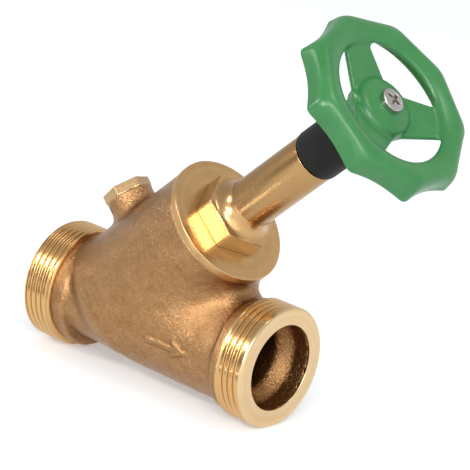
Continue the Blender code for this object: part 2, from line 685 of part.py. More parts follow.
def build_handwheel_screw(stem_axis, finish):
    seat = HUB_TOP + GAP
    outline = [
        (0.0, SCREW_END),
        (SCREW_RADIUS, SCREW_END),
        (SCREW_RADIUS, seat),
        (SCREW_HEAD_RADIUS, seat),
        (SCREW_HEAD_RADIUS, SCREW_TOP - 2 * CHAMFER),
        (SCREW_HEAD_RADIUS - EDGE, SCREW_TOP - CHAMFER),
        (SCREW_HEAD_RADIUS - 2 * CHAMFER, SCREW_TOP - EDGE / 2),
        (0.0, SCREW_TOP),
    ]
    screw = put("handwheel_screw", turned(outline, SMALL_ROUND), stem_axis, finish)
    deep = SCREW_TOP - RECESS_DEPTH
    past = SCREW_TOP + PASS
    for name, turn in (("recess_across", RECESS_TURN), ("recess_along", RECESS_TURN + pi / 2)):
        slot = block((-RECESS_REACH, -RECESS_HALF_WIDTH, deep), (RECESS_REACH, RECESS_HALF_WIDTH, past))
        slot.transform(Matrix.Rotation(turn, 4, "Z"))
        combine(screw, put(name, slot, stem_axis), "DIFFERENCE")


def build_plug(plug_axis, finish, seal_finish):
    seal_bottom = PLUG_SEAL_START + GAP
    seal_top = seal_bottom + PLUG_SEAL_THICKNESS
    seal = tube(PLUG_HOLE_RADIUS, PLUG_SEAL_RADIUS, seal_bottom, seal_top, SMALL_ROUND)
    put("drain_plug_seal", seal, plug_axis, seal_finish)
    head_bottom = seal_top + GAP
    head_top = head_bottom + PLUG_HEX_HEIGHT
    shank = PLUG_HOLE_RADIUS - GAP
    outline = [(0.0, PLUG_END), (shank - CHAMFER, PLUG_END), (shank, PLUG_END + CHAMFER)]
    outline += [(shank, head_bottom + CHAMFER), (0.0, head_bottom + CHAMFER)]
    plug = put("drain_plug", turned(outline, SMALL_ROUND), plug_axis, finish)
    head = put("plug_hexagon", prism(6, PLUG_HEX_FLATS, head_bottom, head_top, PLUG_HEX_TURN), plug_axis)
    combine(plug, head, "UNION")


def main():
    clear_scene()
    bronze = material("cast bronze", (0.39, 0.22, 0.10), 0.45, 1.0)
    turned_bronze = material("turned bronze", (0.60, 0.37, 0.15), 0.25, 1.0)
    brass = material("brass", (0.58, 0.40, 0.16), 0.3, 1.0)
    steel = material("steel", (0.52, 0.50, 0.48), 0.3, 1.0)
    black = material("black plastic", (0.017, 0.017, 0.018), 0.6, 0.0)
    slip_plastic = material("slip washer plastic", (0.75, 0.74, 0.70), 0.5, 0.0)
    rubber = material("seal rubber", (0.02, 0.02, 0.02), 0.8, 0.0)
    green = material("green paint", (0.065, 0.31, 0.10), 0.35, 0.0)

    run_axis = axis_empty("run_axis", (0.0, 0.0, 0.0), pi / 2)
    stem_axis = axis_empty("stem_axis", (STEM_CROSSING, 0.0, 0.0), STEM_LEAN)
    climb = PLUG_STATION * sqrt(0.5)
    plug_axis = axis_empty("plug_axis", (STEM_CROSSING + climb, 0.0, climb), STEM_LEAN - pi / 2)

    build_body(run_axis, stem_axis, plug_axis, bronze)
    build_seat(stem_axis, steel)
    build_bonnet(stem_axis, turned_bronze, rubber)
    build_stem(stem_axis, brass)
    build_stem_rings(stem_axis, rubber, slip_plastic, brass, steel)
    build_disc(stem_axis, brass, steel, rubber)
    build_sleeve(stem_axis, black)
    build_handwheel(stem_axis, green)
    build_handwheel_screw(stem_axis, steel)
    build_plug(plug_axis, turned_bronze, rubber)


main()
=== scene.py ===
import json
from math import cos, pi, radians, sin, sqrt

import bpy
import numpy as np
from mathutils import Matrix, Vector


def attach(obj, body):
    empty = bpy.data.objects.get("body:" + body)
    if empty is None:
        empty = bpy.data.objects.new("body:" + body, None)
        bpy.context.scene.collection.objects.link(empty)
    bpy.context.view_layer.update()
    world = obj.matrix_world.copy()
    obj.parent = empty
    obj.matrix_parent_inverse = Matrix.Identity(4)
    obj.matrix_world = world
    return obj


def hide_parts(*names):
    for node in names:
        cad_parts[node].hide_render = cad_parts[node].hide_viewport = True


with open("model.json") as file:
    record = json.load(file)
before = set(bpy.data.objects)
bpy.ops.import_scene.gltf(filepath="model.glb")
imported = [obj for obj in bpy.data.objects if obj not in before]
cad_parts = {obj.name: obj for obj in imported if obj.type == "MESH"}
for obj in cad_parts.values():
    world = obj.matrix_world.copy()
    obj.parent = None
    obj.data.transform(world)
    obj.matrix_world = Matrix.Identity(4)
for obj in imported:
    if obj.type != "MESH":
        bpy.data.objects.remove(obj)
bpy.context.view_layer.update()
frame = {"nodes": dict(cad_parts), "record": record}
print("frame loaded:", len(frame["nodes"]), "nodes")

mm = 0.001  # every shape below is worked out in millimetres
noTris = np.zeros((0, 3), int)


def axesAt(origin, x, z):
    return np.array(origin, float), np.array([x, (0, 1, 0), z], float)


# The two slanted axes: the stem leans 45 degrees towards the outlet, the plug stands square to it
half = sqrt(0.5)
crossing = np.array([27.05, 0.0, 0.0])  # where the stem's axis meets the run's
plugAt = 25.0  # along the stem from there
stemFrame = axesAt(crossing, (half, 0, -half), (half, 0, half))
plugFrame = axesAt(crossing + plugAt * np.array([half, 0, half]), (half, 0, half), (-half, 0, half))
runFrame = axesAt((0, 0, 0), (0, 0, -1), (1, 0, 0))


def placed(points, axes):
    # local point -> origin + x ex + y ey + z ez
    return axes[0] + points @ axes[1]


def local(points, axes):
    return (points - axes[0]) @ axes[1].T


def aboutAxis(points, axes):
    # Station along an axis and radius about it
    x, y, z = local(points, axes).T
    return z, np.hypot(x, y)


# Mesh making

def readAll(items, name, kind, width):
    values = np.empty(len(items) * width, kind)
    items.foreach_get(name, values)
    return values.reshape(-1, width)


def edgeMask(mesh):
    # Bend of the surface at each point: mean over its edges of normal . (point - neighbour) / length^2,
    # in 1/mm, above zero on outer edges and below zero in creases
    count = len(mesh.vertices)
    points = readAll(mesh.vertices, "co", np.float32, 3).astype(float) / mm
    normals = readAll(mesh.vertices, "normal", np.float32, 3)
    ends = readAll(mesh.edges, "vertices", np.int32, 2)
    here, there = np.concatenate([ends, ends[:, ::-1]]).T
    way = points[here] - points[there]
    bend = (normals[here] * way).sum(1) / np.maximum((way * way).sum(1), 1e-4)
    return np.bincount(here, bend, count) / np.maximum(np.bincount(here, minlength=count), 1)


def addObject(name, data):
    obj = bpy.data.objects.new(name, data)
    bpy.context.scene.collection.objects.link(obj)
    return obj


def newPiece(name, shell, body, nodes, finish, sharpAngle=32):
    # Turns the faces outwards by the sign of the enclosed volume, then fills the mesh from whole arrays
    points, quads, tris = shell
    fan = np.concatenate([quads[:, :3], quads[:, [0, 2, 3]], tris])
    a, b, c = (points[fan[:, k]] for k in range(3))
    if (np.cross(b - a, c - a) * a).sum() < 0:
        quads = quads[:, ::-1]
        tris = tris[:, ::-1]
    mesh = bpy.data.meshes.new(name)
    mesh.vertices.add(len(points))
    mesh.vertices.foreach_set("co", (points * mm).astype(np.float32).ravel())
    corners = np.concatenate([quads.ravel(), tris.ravel()]).astype(np.int32)
    starts = np.concatenate([np.arange(len(quads)) * 4, len(quads) * 4 + np.arange(len(tris)) * 3])
    mesh.loops.add(len(corners))
    mesh.loops.foreach_set("vertex_index", corners)
    mesh.polygons.add(len(starts))
    mesh.polygons.foreach_set("loop_start", starts.astype(np.int32))
    mesh.update(calc_edges=True)
    mesh.validate()
    mesh.shade_smooth()
    mesh.set_sharp_from_angle(angle=radians(sharpAngle))
    bend = mesh.attributes.new("bend", "FLOAT", "POINT")
    bend.data.foreach_set("value", edgeMask(mesh).astype(np.float32))
    obj = addObject(name, mesh)
    mesh.materials.append(finishes[finish])
    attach(obj, body)
    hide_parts(*nodes)
    print("made", name, len(quads) * 2 + len(tris), "triangles")


def unit(way):
    return way / np.linalg.norm(way)


def roundedProfile(corners, steps=5):
    # Corners are (radius, station, round): each is cut by an arc that touches both its sides
    pts = np.array([c[:2] for c in corners], float)
    out = []
    for i, corner in enumerate(corners):
        here = pts[i]
        size = corner[2] if len(corner) > 2 else 0.0
        if size <= 0 or i in (0, len(corners) - 1):
            out.append(here[None])
            continue
        u = unit(pts[i - 1] - here)
        v = unit(pts[i + 1] - here)
        angle = np.arccos(np.clip(u @ v, -1, 1))
        axis = -unit(u + v)
        middle = here - axis * size / np.sin(angle / 2)
        sweep = np.linspace(-1, 1, steps)[:, None] * (pi - angle) / 2
        across = np.array([-axis[1], axis[0]])
        if across @ v < 0:
            across = -across
        out.append(middle + size * (np.cos(sweep) * axis + np.sin(sweep) * across))
    return np.concatenate(out)


def ringPoints(radius, angle, station):
    # (radius cos angle, radius sin angle, station)
    return np.stack([radius * np.cos(angle), radius * np.sin(angle), station], -1).reshape(-1, 3)


def ringQuads(count, columns, closed):
    # Quads between neighbouring rows, each a ring of columns, and from the last row to the first where closed
    i = np.arange(count if closed else count - 1)[:, None]
    j = np.arange(columns)[None]
    nextRow = (i + 1) % count
    nextColumn = (j + 1) % columns
    return np.stack([i * columns + j, i * columns + nextColumn,
                     nextRow * columns + nextColumn, nextRow * columns + j], -1).reshape(-1, 4)


def carriedRound(profile, columns, axes, shape=None, turn=0.0):
    # Profile (radius, station) carried round an axis. shape(radius, angle) gives the final radius.
    # A profile that starts and ends on the axis gets a pole at each end, any other is closed into a ring.
    angle = turn + 2 * pi * np.arange(columns) / columns
    poles = profile[0, 0] < 1e-6 and profile[-1, 0] < 1e-6
    rows = profile[1:-1] if poles else profile
    radius, station, around = np.broadcast_arrays(rows[:, :1], rows[:, 1:], angle)
    if shape is not None:
        radius = shape(radius, around)
    points = ringPoints(radius, around, station)
    quads = ringQuads(len(rows), columns, not poles)
    tris = noTris
    if poles:
        ends = np.array([[0, 0, profile[0, 1]], [0, 0, profile[-1, 1]]], float)
        low = len(points)
        points = np.concatenate([points, ends])
        j = np.arange(columns)
        k = (j + 1) % columns
        last = (len(rows) - 1) * columns
        tris = np.concatenate([np.stack([np.full(columns, low), k, j], 1),
                               np.stack([np.full(columns, low + 1), last + j, last + k], 1)])
    return placed(points, axes), quads, tris


def netSurface(field, box, step, rounds=3):
    # Surface net: one point in each grid cell that the zero level of the field passes through, at the mean
    # of the crossings of the cell's edges, and one quad across each crossed grid edge. The points are then
    # evened out and stepped onto the level along the field's slope. The box stands clear of the surface.
    low, high = box
    sizes = [np.arange(a, b + step, step) for a, b in zip(low, high)]
    grid = np.stack(np.meshgrid(*sizes, indexing="ij"), -1)
    shape = grid.shape[:3]
    values = field(grid.reshape(-1, 3)).reshape(shape)
    values = np.where(np.abs(values) < 1e-6, 1e-6, values)
    inside = values < 0
    offsets = np.array([[i, j, k] for i in (0, 1) for j in (0, 1) for k in (0, 1)])
    a, b, c = (n - 1 for n in shape)
    corners = [values[i:i + a, j:j + b, k:k + c] for i, j, k in offsets]
    number = sum((each < 0).astype(np.int8) for each in corners)
    passed = (number > 0) & (number < 8)
    cells = np.argwhere(passed)
    index = -np.ones(passed.shape, np.int64)
    index[passed] = np.arange(len(cells))
    corner = np.stack([each[passed] for each in corners], 1)
    total = np.zeros((len(cells), 3))
    hits = np.zeros(len(cells))
    for a, b in ((a, a | bit) for a in range(8) for bit in (1, 2, 4) if not a & bit):
        crossed = (corner[:, a] < 0) != (corner[:, b] < 0)
        gap = corner[:, a] - corner[:, b]
        share = np.where(crossed, corner[:, a] / np.where(crossed, gap, 1.0), 0.0)
        spot = offsets[a] + share[:, None] * (offsets[b] - offsets[a])
        total += spot * crossed[:, None]
        hits += crossed
    points = np.array(low) + step * (cells + total / hits[:, None])
    quads = []
    for axis in range(3):
        one, two = np.eye(3, dtype=int)[[axis - 2, axis - 1]]
        spots = np.argwhere(inside != np.roll(inside, -1, axis))
        ring = [spots - one - two, spots - two, spots, spots - one]
        faces = np.stack([index[tuple(r.T)] for r in ring], 1)
        flip = ~inside[tuple(spots.T)]
        faces[flip] = faces[flip][:, ::-1]
        quads.append(faces)
    quads = np.concatenate(quads)
    ends = np.concatenate([quads[:, [k, (k + 1) % 4]] for k in range(4)])
    number = np.bincount(ends[:, 0], minlength=len(points))

    def settled(p):
        tiny = 0.02  # step for the slope
        flattest = 0.05  # least squared slope to divide by
        reach = 0.5 * step  # farthest move
        here = field(p)
        slope = np.stack([field(p + tiny * e) - field(p - tiny * e) for e in np.eye(3)], 1) / (2 * tiny)
        steep = np.maximum((slope * slope).sum(1), flattest)
        move = -here[:, None] * slope / steep[:, None]
        far = np.maximum(np.linalg.norm(move, axis=1, keepdims=True) / reach, 1.0)
        return p + move / far

    points = settled(points)
    for _ in range(rounds):
        mean = np.stack([np.bincount(ends[:, 0], points[ends[:, 1], k], len(points)) for k in range(3)], 1)
        mean /= number[:, None]
        points = settled(settled(0.5 * points + 0.5 * mean))
    return points, quads, noTris


def softMin(a, b, k):
    # Smaller of two fields, with a fillet about k wide where they meet
    h = np.maximum(k - np.abs(a - b), 0.0) / k
    return np.minimum(a, b) - h * h * k * 0.25


def softMax(a, b, k):
    return -softMin(-a, -b, k)


def smoothStep(x, low, high):
    # 3 t^2 - 2 t^3, with t the share of the way from low to high
    t = np.clip((x - low) / (high - low), 0.0, 1.0)
    return t * t * (3 - 2 * t)


# Finishes

def setInput(tree, target, value):
    if isinstance(value, bpy.types.NodeSocket):
        tree.links.new(value, target)
    else:
        target.default_value = value


def addNode(tree, kind, **settings):
    node = tree.nodes.new("ShaderNode" + kind)
    for key, value in settings.items():
        if hasattr(node, key):
            setattr(node, key, value)
        else:
            setInput(tree, node.inputs[key], value)
    return node


def mathNode(tree, operation, *values, clamp=False):
    node = addNode(tree, "Math", operation=operation, use_clamp=clamp)
    for target, value in zip(node.inputs, values):
        setInput(tree, target, value)
    return node.outputs[0]


def times(tree, first, second):
    return mathNode(tree, "MULTIPLY", first, second)


def weighted(tree, first, second, shares):
    return mathNode(tree, "ADD", times(tree, first, shares[0]), times(tree, second, shares[1]))


def rangeNode(tree, value, low, high, start, stop):
    node = addNode(tree, "MapRange", clamp=True, Value=value, **{"From Min": low, "From Max": high,
                                                                 "To Min": start, "To Max": stop})
    return node.outputs["Result"]


def mixColour(tree, share, first, second):
    node = addNode(tree, "Mix", data_type="RGBA")
    sockets = {s.identifier: s for s in (*node.inputs, *node.outputs)}
    for name, value in (("Factor_Float", share), ("A_Color", first), ("B_Color", second)):
        setInput(tree, sockets[name], (*value, 1.0) if isinstance(value, tuple) else value)
    return sockets["Result_Color"]


def tinted(tree, colour, mask, share, tint):
    # Colour moved towards a tint by a share of the mask
    return mixColour(tree, times(tree, mask, share), colour, tint)


def newGroup(name, inputs, outputs):
    # Inputs are labels with their first values, where None stands for a vector
    group = bpy.data.node_groups.new(name, "ShaderNodeTree")
    for label, value in inputs.items():
        kind = "NodeSocketVector" if value is None else "NodeSocketFloat"
        made = group.interface.new_socket(name=label, in_out="INPUT", socket_type=kind)
        if value is not None:
            made.default_value = value
    for label in outputs:
        group.interface.new_socket(name=label, in_out="OUTPUT", socket_type="NodeSocketFloat")
    return group, group.nodes.new("NodeGroupInput"), group.nodes.new("NodeGroupOutput")


def closeGroup(group, end, **results):
    for label, value in results.items():
        group.links.new(value, end.inputs[label])
    return group


def noisePair(group, start, place, detail, roughness):
    # Fine and broad noise at the scales that come into the group
    return [addNode(group, "TexNoise", Detail=detail, Roughness=rough, Vector=place,
                    Scale=start.outputs[label]).outputs["Fac"]
            for label, rough in zip(("Fine", "Broad"), roughness)]


noiseSpan = (0.3, 0.7)  # noise seldom leaves this range
grainLook = {"detail": 3.0, "roughness": (0.65, 0.55), "shares": (0.65, 0.35), "gritSpan": (0.36, 0.64)}
linesLook = {"detail": 2.0, "roughness": (0.6, 0.5), "drift": 0.012}
wearLook = {"scale": 900.0, "detail": 3.0, "span": (0.3, 0.65), "least": 0.55}


def makeSandGrain():
    # Fine grains and broader unevenness of a sand-cast or moulded skin
    look = grainLook
    group, start, end = newGroup("sandGrain", {"Fine": 2400.0, "Broad": 260.0},
                                 ("Height", "Tone", "Grit"))
    place = addNode(group, "TexCoord").outputs["Object"]
    fine, broad = noisePair(group, start, place, look["detail"], look["roughness"])
    return closeGroup(group, end, Height=weighted(group, fine, broad, look["shares"]),
                      Tone=rangeNode(group, broad, *noiseSpan, 0.0, 1.0),
                      Grit=rangeNode(group, fine, *look["gritSpan"], 0.0, 1.0))


def makeTurningLines():
    # Rings left by the lathe: noise read on (radius, station), so that it only changes across the cut
    look = linesLook
    group, start, end = newGroup("turningLines", {"Vector": None, "Fine": 4200.0, "Broad": 700.0},
                                 ("Height", "Tone"))
    x, y, z = addNode(group, "SeparateXYZ", Vector=start.outputs["Vector"]).outputs
    radius = mathNode(group, "SQRT", mathNode(group, "ADD", times(group, x, x), times(group, y, y)))
    line = addNode(group, "CombineXYZ", X=radius, Y=times(group, x, look["drift"]), Z=z)
    fine, broad = noisePair(group, start, line.outputs[0], look["detail"], look["roughness"])
    return closeGroup(group, end, Height=fine, Tone=rangeNode(group, broad, *noiseSpan, 0.0, 1.0))


def makeEdgeWearAndCreaseShade():
    # Outer edges for wear and creases for painted shade, from the bend stored on each piece, the edges broken
    # up by noise
    look = wearLook
    group, start, end = newGroup("edgeWearAndCreaseShade", {"Edge Bend": 0.5, "Crease Bend": 0.25}, ("Edge", "Crease"))
    bend = addNode(group, "Attribute", attribute_name="bend").outputs["Fac"]
    place = addNode(group, "TexCoord").outputs["Object"]
    breakUp = addNode(group, "TexNoise", Scale=look["scale"], Detail=look["detail"], Vector=place)
    uneven = rangeNode(group, breakUp.outputs["Fac"], *look["span"], look["least"], 1.0)
    edge = mathNode(group, "DIVIDE", bend, start.outputs["Edge Bend"], clamp=True)
    crease = mathNode(group, "DIVIDE", times(group, bend, -1.0), start.outputs["Crease Bend"], clamp=True)
    return closeGroup(group, end, Edge=times(group, edge, uneven), Crease=crease)


groups = {"sandGrain": makeSandGrain(), "turningLines": makeTurningLines(), "edgeWearAndCreaseShade": makeEdgeWearAndCreaseShade()}


def groupNode(tree, name, **values):
    return addNode(tree, "Group", node_tree=groups[name], **values)


def newFinish(name, constants):
    made = bpy.data.materials.new(name)
    made.use_nodes = True
    shader = made.node_tree.nodes["Principled BSDF"]
    for key, value in constants.items():
        shader.inputs[key].default_value = value
    return made, made.node_tree, shader


def joinShader(tree, shader, colour, rough, height, bump):
    # Colour and roughness go straight in, the height through a bump of so many metres and a strength
    lifted = addNode(tree, "Bump", Distance=bump[0], Strength=bump[1], Height=height)
    for key, value in (("Base Color", colour), ("Roughness", rough), ("Normal", lifted.outputs["Normal"])):
        tree.links.new(value, shader.inputs[key])


plastic = {"surface": {"Specular IOR Level": 0.16}, "scales": {"Fine": 1800.0, "Broad": 300.0}}
skinLooks = {
    "castBronze": {
        "surface": {"Metallic": 1.0}, "scales": {"Fine": 1250.0},
        "bends": {"Edge Bend": 0.6, "Crease Bend": 0.22}, "shares": (0.45, 0.55),
        "dark": (0.272, 0.137, 0.053), "pale": (0.438, 0.249, 0.113),
        # Crease tint: painted shade, darker brown in creases; edge tint: paler wear
        "tints": {"Crease": (0.75, (0.21, 0.10, 0.035)), "Edge": (0.6, (0.60, 0.38, 0.19))},
        "roughness": (0.40, 0.24), "bump": (0.0005, 1.0)},
    "greenPaint": {
        "surface": {"Specular IOR Level": 0.5}, "scales": {"Fine": 900.0, "Broad": 120.0},
        "bends": {"Edge Bend": 0.9, "Crease Bend": 0.6},
        "dark": (0.0285, 0.195, 0.0475), "pale": (0.040, 0.229, 0.062),
        # Edge tint: paler wear; crease tint: painted shade, darker green in creases
        "tints": {"Edge": (0.3, (0.10, 0.36, 0.14)), "Crease": (0.6, (0.03, 0.16, 0.048))},
        "span": (0.35, 0.65), "roughness": (0.29, 0.36), "bump": (0.00003, 0.6)},
    "blackPlastic": {
        **plastic, "dark": (0.008, 0.0078, 0.0073), "pale": (0.013, 0.0125, 0.0115),
        "tints": {"Edge": (0.4, (0.0295, 0.02875, 0.02725))},
        "roughness": (0.5, 0.62), "bump": (0.00002, 1.0)},
    "slipPlastic": {
        **plastic, "dark": (0.70, 0.69, 0.65), "pale": (0.78, 0.77, 0.73),
        "tints": {"Edge": (0.4, (1.0, 1.0, 1.0))}, "roughness": (0.4, 0.5), "bump": (0.00001, 1.0)},
    "sealRubber": {
        **plastic, "dark": (0.015, 0.015, 0.015), "pale": (0.025, 0.025, 0.025),
        "tints": {"Edge": (0.4, (0.0475, 0.0475, 0.0475))}, "roughness": (0.7, 0.85), "bump": (0.00002, 1.0)},
}


def skinFinish(name, look):
    # Cast, painted or moulded skin: grain in colour, roughness and height, then a wear tint on edges and
    # painted shade in creases
    made, tree, shader = newFinish(name, look["surface"])
    grain = groupNode(tree, "sandGrain", **look["scales"])
    wearAndShade = groupNode(tree, "edgeWearAndCreaseShade", **look.get("bends", {}))
    tone = grain.outputs["Tone"]
    if "shares" in look:
        tone = weighted(tree, tone, grain.outputs["Grit"], look["shares"])
    colour = mixColour(tree, tone, look["dark"], look["pale"])
    # The crease tint paints shade into the colour, the edge tint paints wear
    for mask, (share, tint) in look["tints"].items():
        colour = tinted(tree, colour, wearAndShade.outputs[mask], share, tint)
    height = grain.outputs["Height"]
    rough = rangeNode(tree, height, *look.get("span", noiseSpan), *look["roughness"])
    joinShader(tree, shader, colour, rough, height, look["bump"])
    return made


turnedShares = {
    "scales": {"Fine": 1500.0, "Broad": 150.0}, "bends": {"Edge Bend": 1.2, "Crease Bend": 0.8},
    "tone": (0.45, 0.55), "edge": 0.6, "crease": 0.5, "creaseDark": 0.5, "bandEdge": 0.15,
}


def turnedMetal(name, look):
    # Lathe-turned metal, its lines set square to the axis it was turned on. Each band of stations, in mm, may
    # be rougher and lean towards a tint of its own.
    shares = turnedShares
    made, tree, shader = newFinish(name, {"Metallic": 1.0})
    origin, rows = look["axes"]
    mapping = addNode(tree, "Mapping", vector_type="TEXTURE", Location=origin * mm,
                      Rotation=Matrix(rows.T.tolist()).to_euler(),
                      Vector=addNode(tree, "TexCoord").outputs["Object"])
    cuts = groupNode(tree, "turningLines", Vector=mapping.outputs["Vector"])
    grain = groupNode(tree, "sandGrain", **shares["scales"])
    wearAndShade = groupNode(tree, "edgeWearAndCreaseShade", **shares["bends"])
    tone = weighted(tree, cuts.outputs["Tone"], grain.outputs["Tone"], shares["tone"])
    colour = mixColour(tree, tone, look["dark"], look["pale"])
    if "edge" in look:
        colour = tinted(tree, colour, wearAndShade.outputs["Edge"], shares["edge"], look["edge"])
    # Creases darkened towards a deeper shade of the metal: painted shade
    deep = tuple(shares["creaseDark"] * c for c in look["dark"])
    colour = tinted(tree, colour, wearAndShade.outputs["Crease"], shares["crease"], deep)
    rough = rangeNode(tree, cuts.outputs["Height"], *noiseSpan, *look["roughness"])
    station = addNode(tree, "SeparateXYZ", Vector=mapping.outputs["Vector"]).outputs["Z"]
    soft = shares["bandEdge"] * mm
    for band in look.get("bands", ()):
        low, high = (n * mm for n in band["span"])
        share = times(tree, rangeNode(tree, station, low, low + soft, 0.0, 1.0),
                      rangeNode(tree, station, high - soft, high, 1.0, 0.0))
        rough = mathNode(tree, "ADD", rough, times(tree, share, band["rough"]))
        if "tint" in band:
            colour = tinted(tree, colour, share, band["lean"], band["tint"])
    joinShader(tree, shader, colour, rough, cuts.outputs["Height"], (look["lines"], 1.0))
    return made


# Bands along the bonnet: satin flange, foot of the hexagon, flats tinted paler as a painted highlight, cone,
# and neck darkened browner as painted shade
bonnetBands = (
    {"span": (40.0, 59.45), "rough": 0.22},
    {"span": (59.3, 59.85), "rough": 0.08},
    # Paler tint on the hexagon's flats: painted highlight, whitening their bright reflection
    {"span": (59.75, 66.85), "rough": 0.03, "tint": (0.80, 0.65, 0.44), "lean": 0.75},
    {"span": (66.75, 72.2), "rough": 0.08},
    # Darker, browner tint on the neck: painted shade, dimming what it reflects
    {"span": (72.0, 104.5), "rough": 0.08, "tint": (0.39, 0.225, 0.094), "lean": 0.8},
)

# The threads lean towards a darker, redder tint than the faced ends: painted shade for the light bounced
# about in their grooves
threadBands = tuple({"span": span, "rough": 0.0, "tint": (0.62, 0.375, 0.15), "lean": 0.85}
                    for span in ((0.4, 13.4), (86.6, 99.2)))

turnedLooks = {
    "turnedBonnet": {
        "axes": stemFrame, "dark": (0.50, 0.29, 0.12), "pale": (0.61, 0.38, 0.175),
        "edge": (0.72, 0.50, 0.26), "roughness": (0.13, 0.22), "lines": 0.000005, "bands": bonnetBands},
    "turnedThread": {
        "axes": runFrame, "dark": (0.68, 0.47, 0.255), "pale": (0.76, 0.55, 0.31),
        "edge": (0.78, 0.58, 0.33), "roughness": (0.17, 0.26), "lines": 0.000005, "bands": threadBands},
    "turnedPlug": {
        "axes": plugFrame, "dark": (0.42, 0.27, 0.13), "pale": (0.50, 0.345, 0.175),
        "edge": (0.66, 0.47, 0.26), "roughness": (0.2, 0.3), "lines": 0.000003},
    "turnedBrass": {
        "axes": stemFrame, "dark": (0.55, 0.37, 0.14), "pale": (0.64, 0.45, 0.19),
        "roughness": (0.22, 0.36), "lines": 0.000008},
    "satinSteel": {
        "axes": stemFrame, "dark": (0.42, 0.39, 0.37), "pale": (0.50, 0.47, 0.445),
        "edge": (0.7, 0.67, 0.63), "roughness": (0.2, 0.3), "lines": 0.000006},
}
finishes = {name: skinFinish(name, look) for name, look in skinLooks.items()}
finishes.update({name: turnedMetal(name, look) for name, look in turnedLooks.items()})
print("finishes made:", len(finishes))


# Valve body: casting, and a turned thread at each end

runLength = 100.0
bodyShape = {
    "run": ((18.5, 27.0, 36.0, 60.0, 85.0), (16.0, 16.0, 16.8, 17.8, 18.2)),  # stations and radii
    "flanks": ((18.0, 27.0, 60.0, 85.0), (3.3, 2.7, 0.6, 0.0)),  # stations and what the sides add
    "collar": (19.6, 18.2, 1.0, 1.8),  # radius, end, round and fillet
    "mouldLip": (19.9, 85.6, 0.8, 2.4),  # radius, start, round and fillet
    "ends": (13.1, 88.7),  # the threads begin beyond these
    "stub": (16.0, 0.8),  # inside each thread: radius and set-back from its end
    "branch": (22.0, 57.0, 5.0, -6.4, 0.5),  # radius, top, dome's top and end, round
    "fillets": (2.6, 12.2), "filletGrowth": (20.0, 65.0),  # from the inlet's side to the crotch
    "filletFade": (51.0, 58.0, 0.7),  # near the flange
    "underside": (-6.0, 8.0), "sides": (0.2, 0.7), "underShare": 0.2,
    "boss": (8.1, 9.2, 19.0, 24.0, 27.97),  # radius, foot's radius, foot, top of the flare, top
    "bossRoot": 10.0, "bossFillet": 2.0, "topRound": 0.5,
    "bore": 11.5, "socket": (15.0, 6.0, 12.5),  # radius at the end, start and end of the funnel
    "wayInEnd": 60.0, "wayOutStart": 12.0, "hollowRound": 1.0,
    "bridge": (-2.0, 3.8),  # underside and top
    "chamber": (17.5, 3.5, 43.0),  # radius, floor and where the mouth begins
    "mouth": (18.5, 54.9, 20.5),  # radius, floor and radius of the seal's recess
    "seat": (12.0, 0.5, 14.3), "seatReach": (-4.0, 5.0),  # radius, floor and radius of the ring's recess
    "plugHole": (5.0, 14.0), "sealRecess": (6.95, 26.6),  # radius and floor
    "edgeRound": 0.4,
    "waviness": 0.06, "wobble": (0.08, 1.2, 4.0), "wobbleFade": (1.5, 5.0),
    "box": ((-1.0, -24.0, -24.0), (101.0, 24.0, 60.0)), "step": 0.66,
}
arrowShape = {"centre": 65.5, "tilt": radians(-2.3), "radius": 18.4, "half": 9.0, "shaft": 0.95, "head": 7.0,
              "barb": 2.9, "height": 0.55, "overlap": 1.0, "slant": 0.92, "soft": (-0.45, 0.35)}

# Slow ripples left by the sand: waves per mm along x, y and z, phase and weight
ripples = (((0.83, 0.47, -0.31), 0.0, 1.0), ((-0.52, 0.91, 0.44), 1.3, 1.0), ((0.37, -0.58, 0.95), 2.1, 1.0),
           ((1.7, 1.1, 1.5), 0.4, 0.6), ((-1.3, 1.9, -1.2), 2.8, 0.6))
rippleScale = 3.0


def unevenness(p):
    x, y, z = p.T
    waves = [weight * np.sin(a * x + b * y + c * z + phase) for (a, b, c), phase, weight in ripples]
    return sum(waves) / rippleScale


def arrowRelief(p):
    # Raised flow arrow on the near side: distance to a shaft and a triangle in (x, arc length round the run)
    v = arrowShape
    along = p[:, 0] - v["centre"]
    across = v["radius"] * np.abs(np.arctan2(p[:, 2], -p[:, 1]) - v["tilt"])
    neck = v["half"] - v["head"]
    shaft = np.maximum(across - v["shaft"], np.maximum(-v["half"] - along, along - neck - v["overlap"]))
    head = np.maximum((across - (v["half"] - along) * v["barb"] / v["head"]) * v["slant"], neck - along)
    return v["height"] * (1 - smoothStep(np.minimum(shaft, head), *v["soft"]))


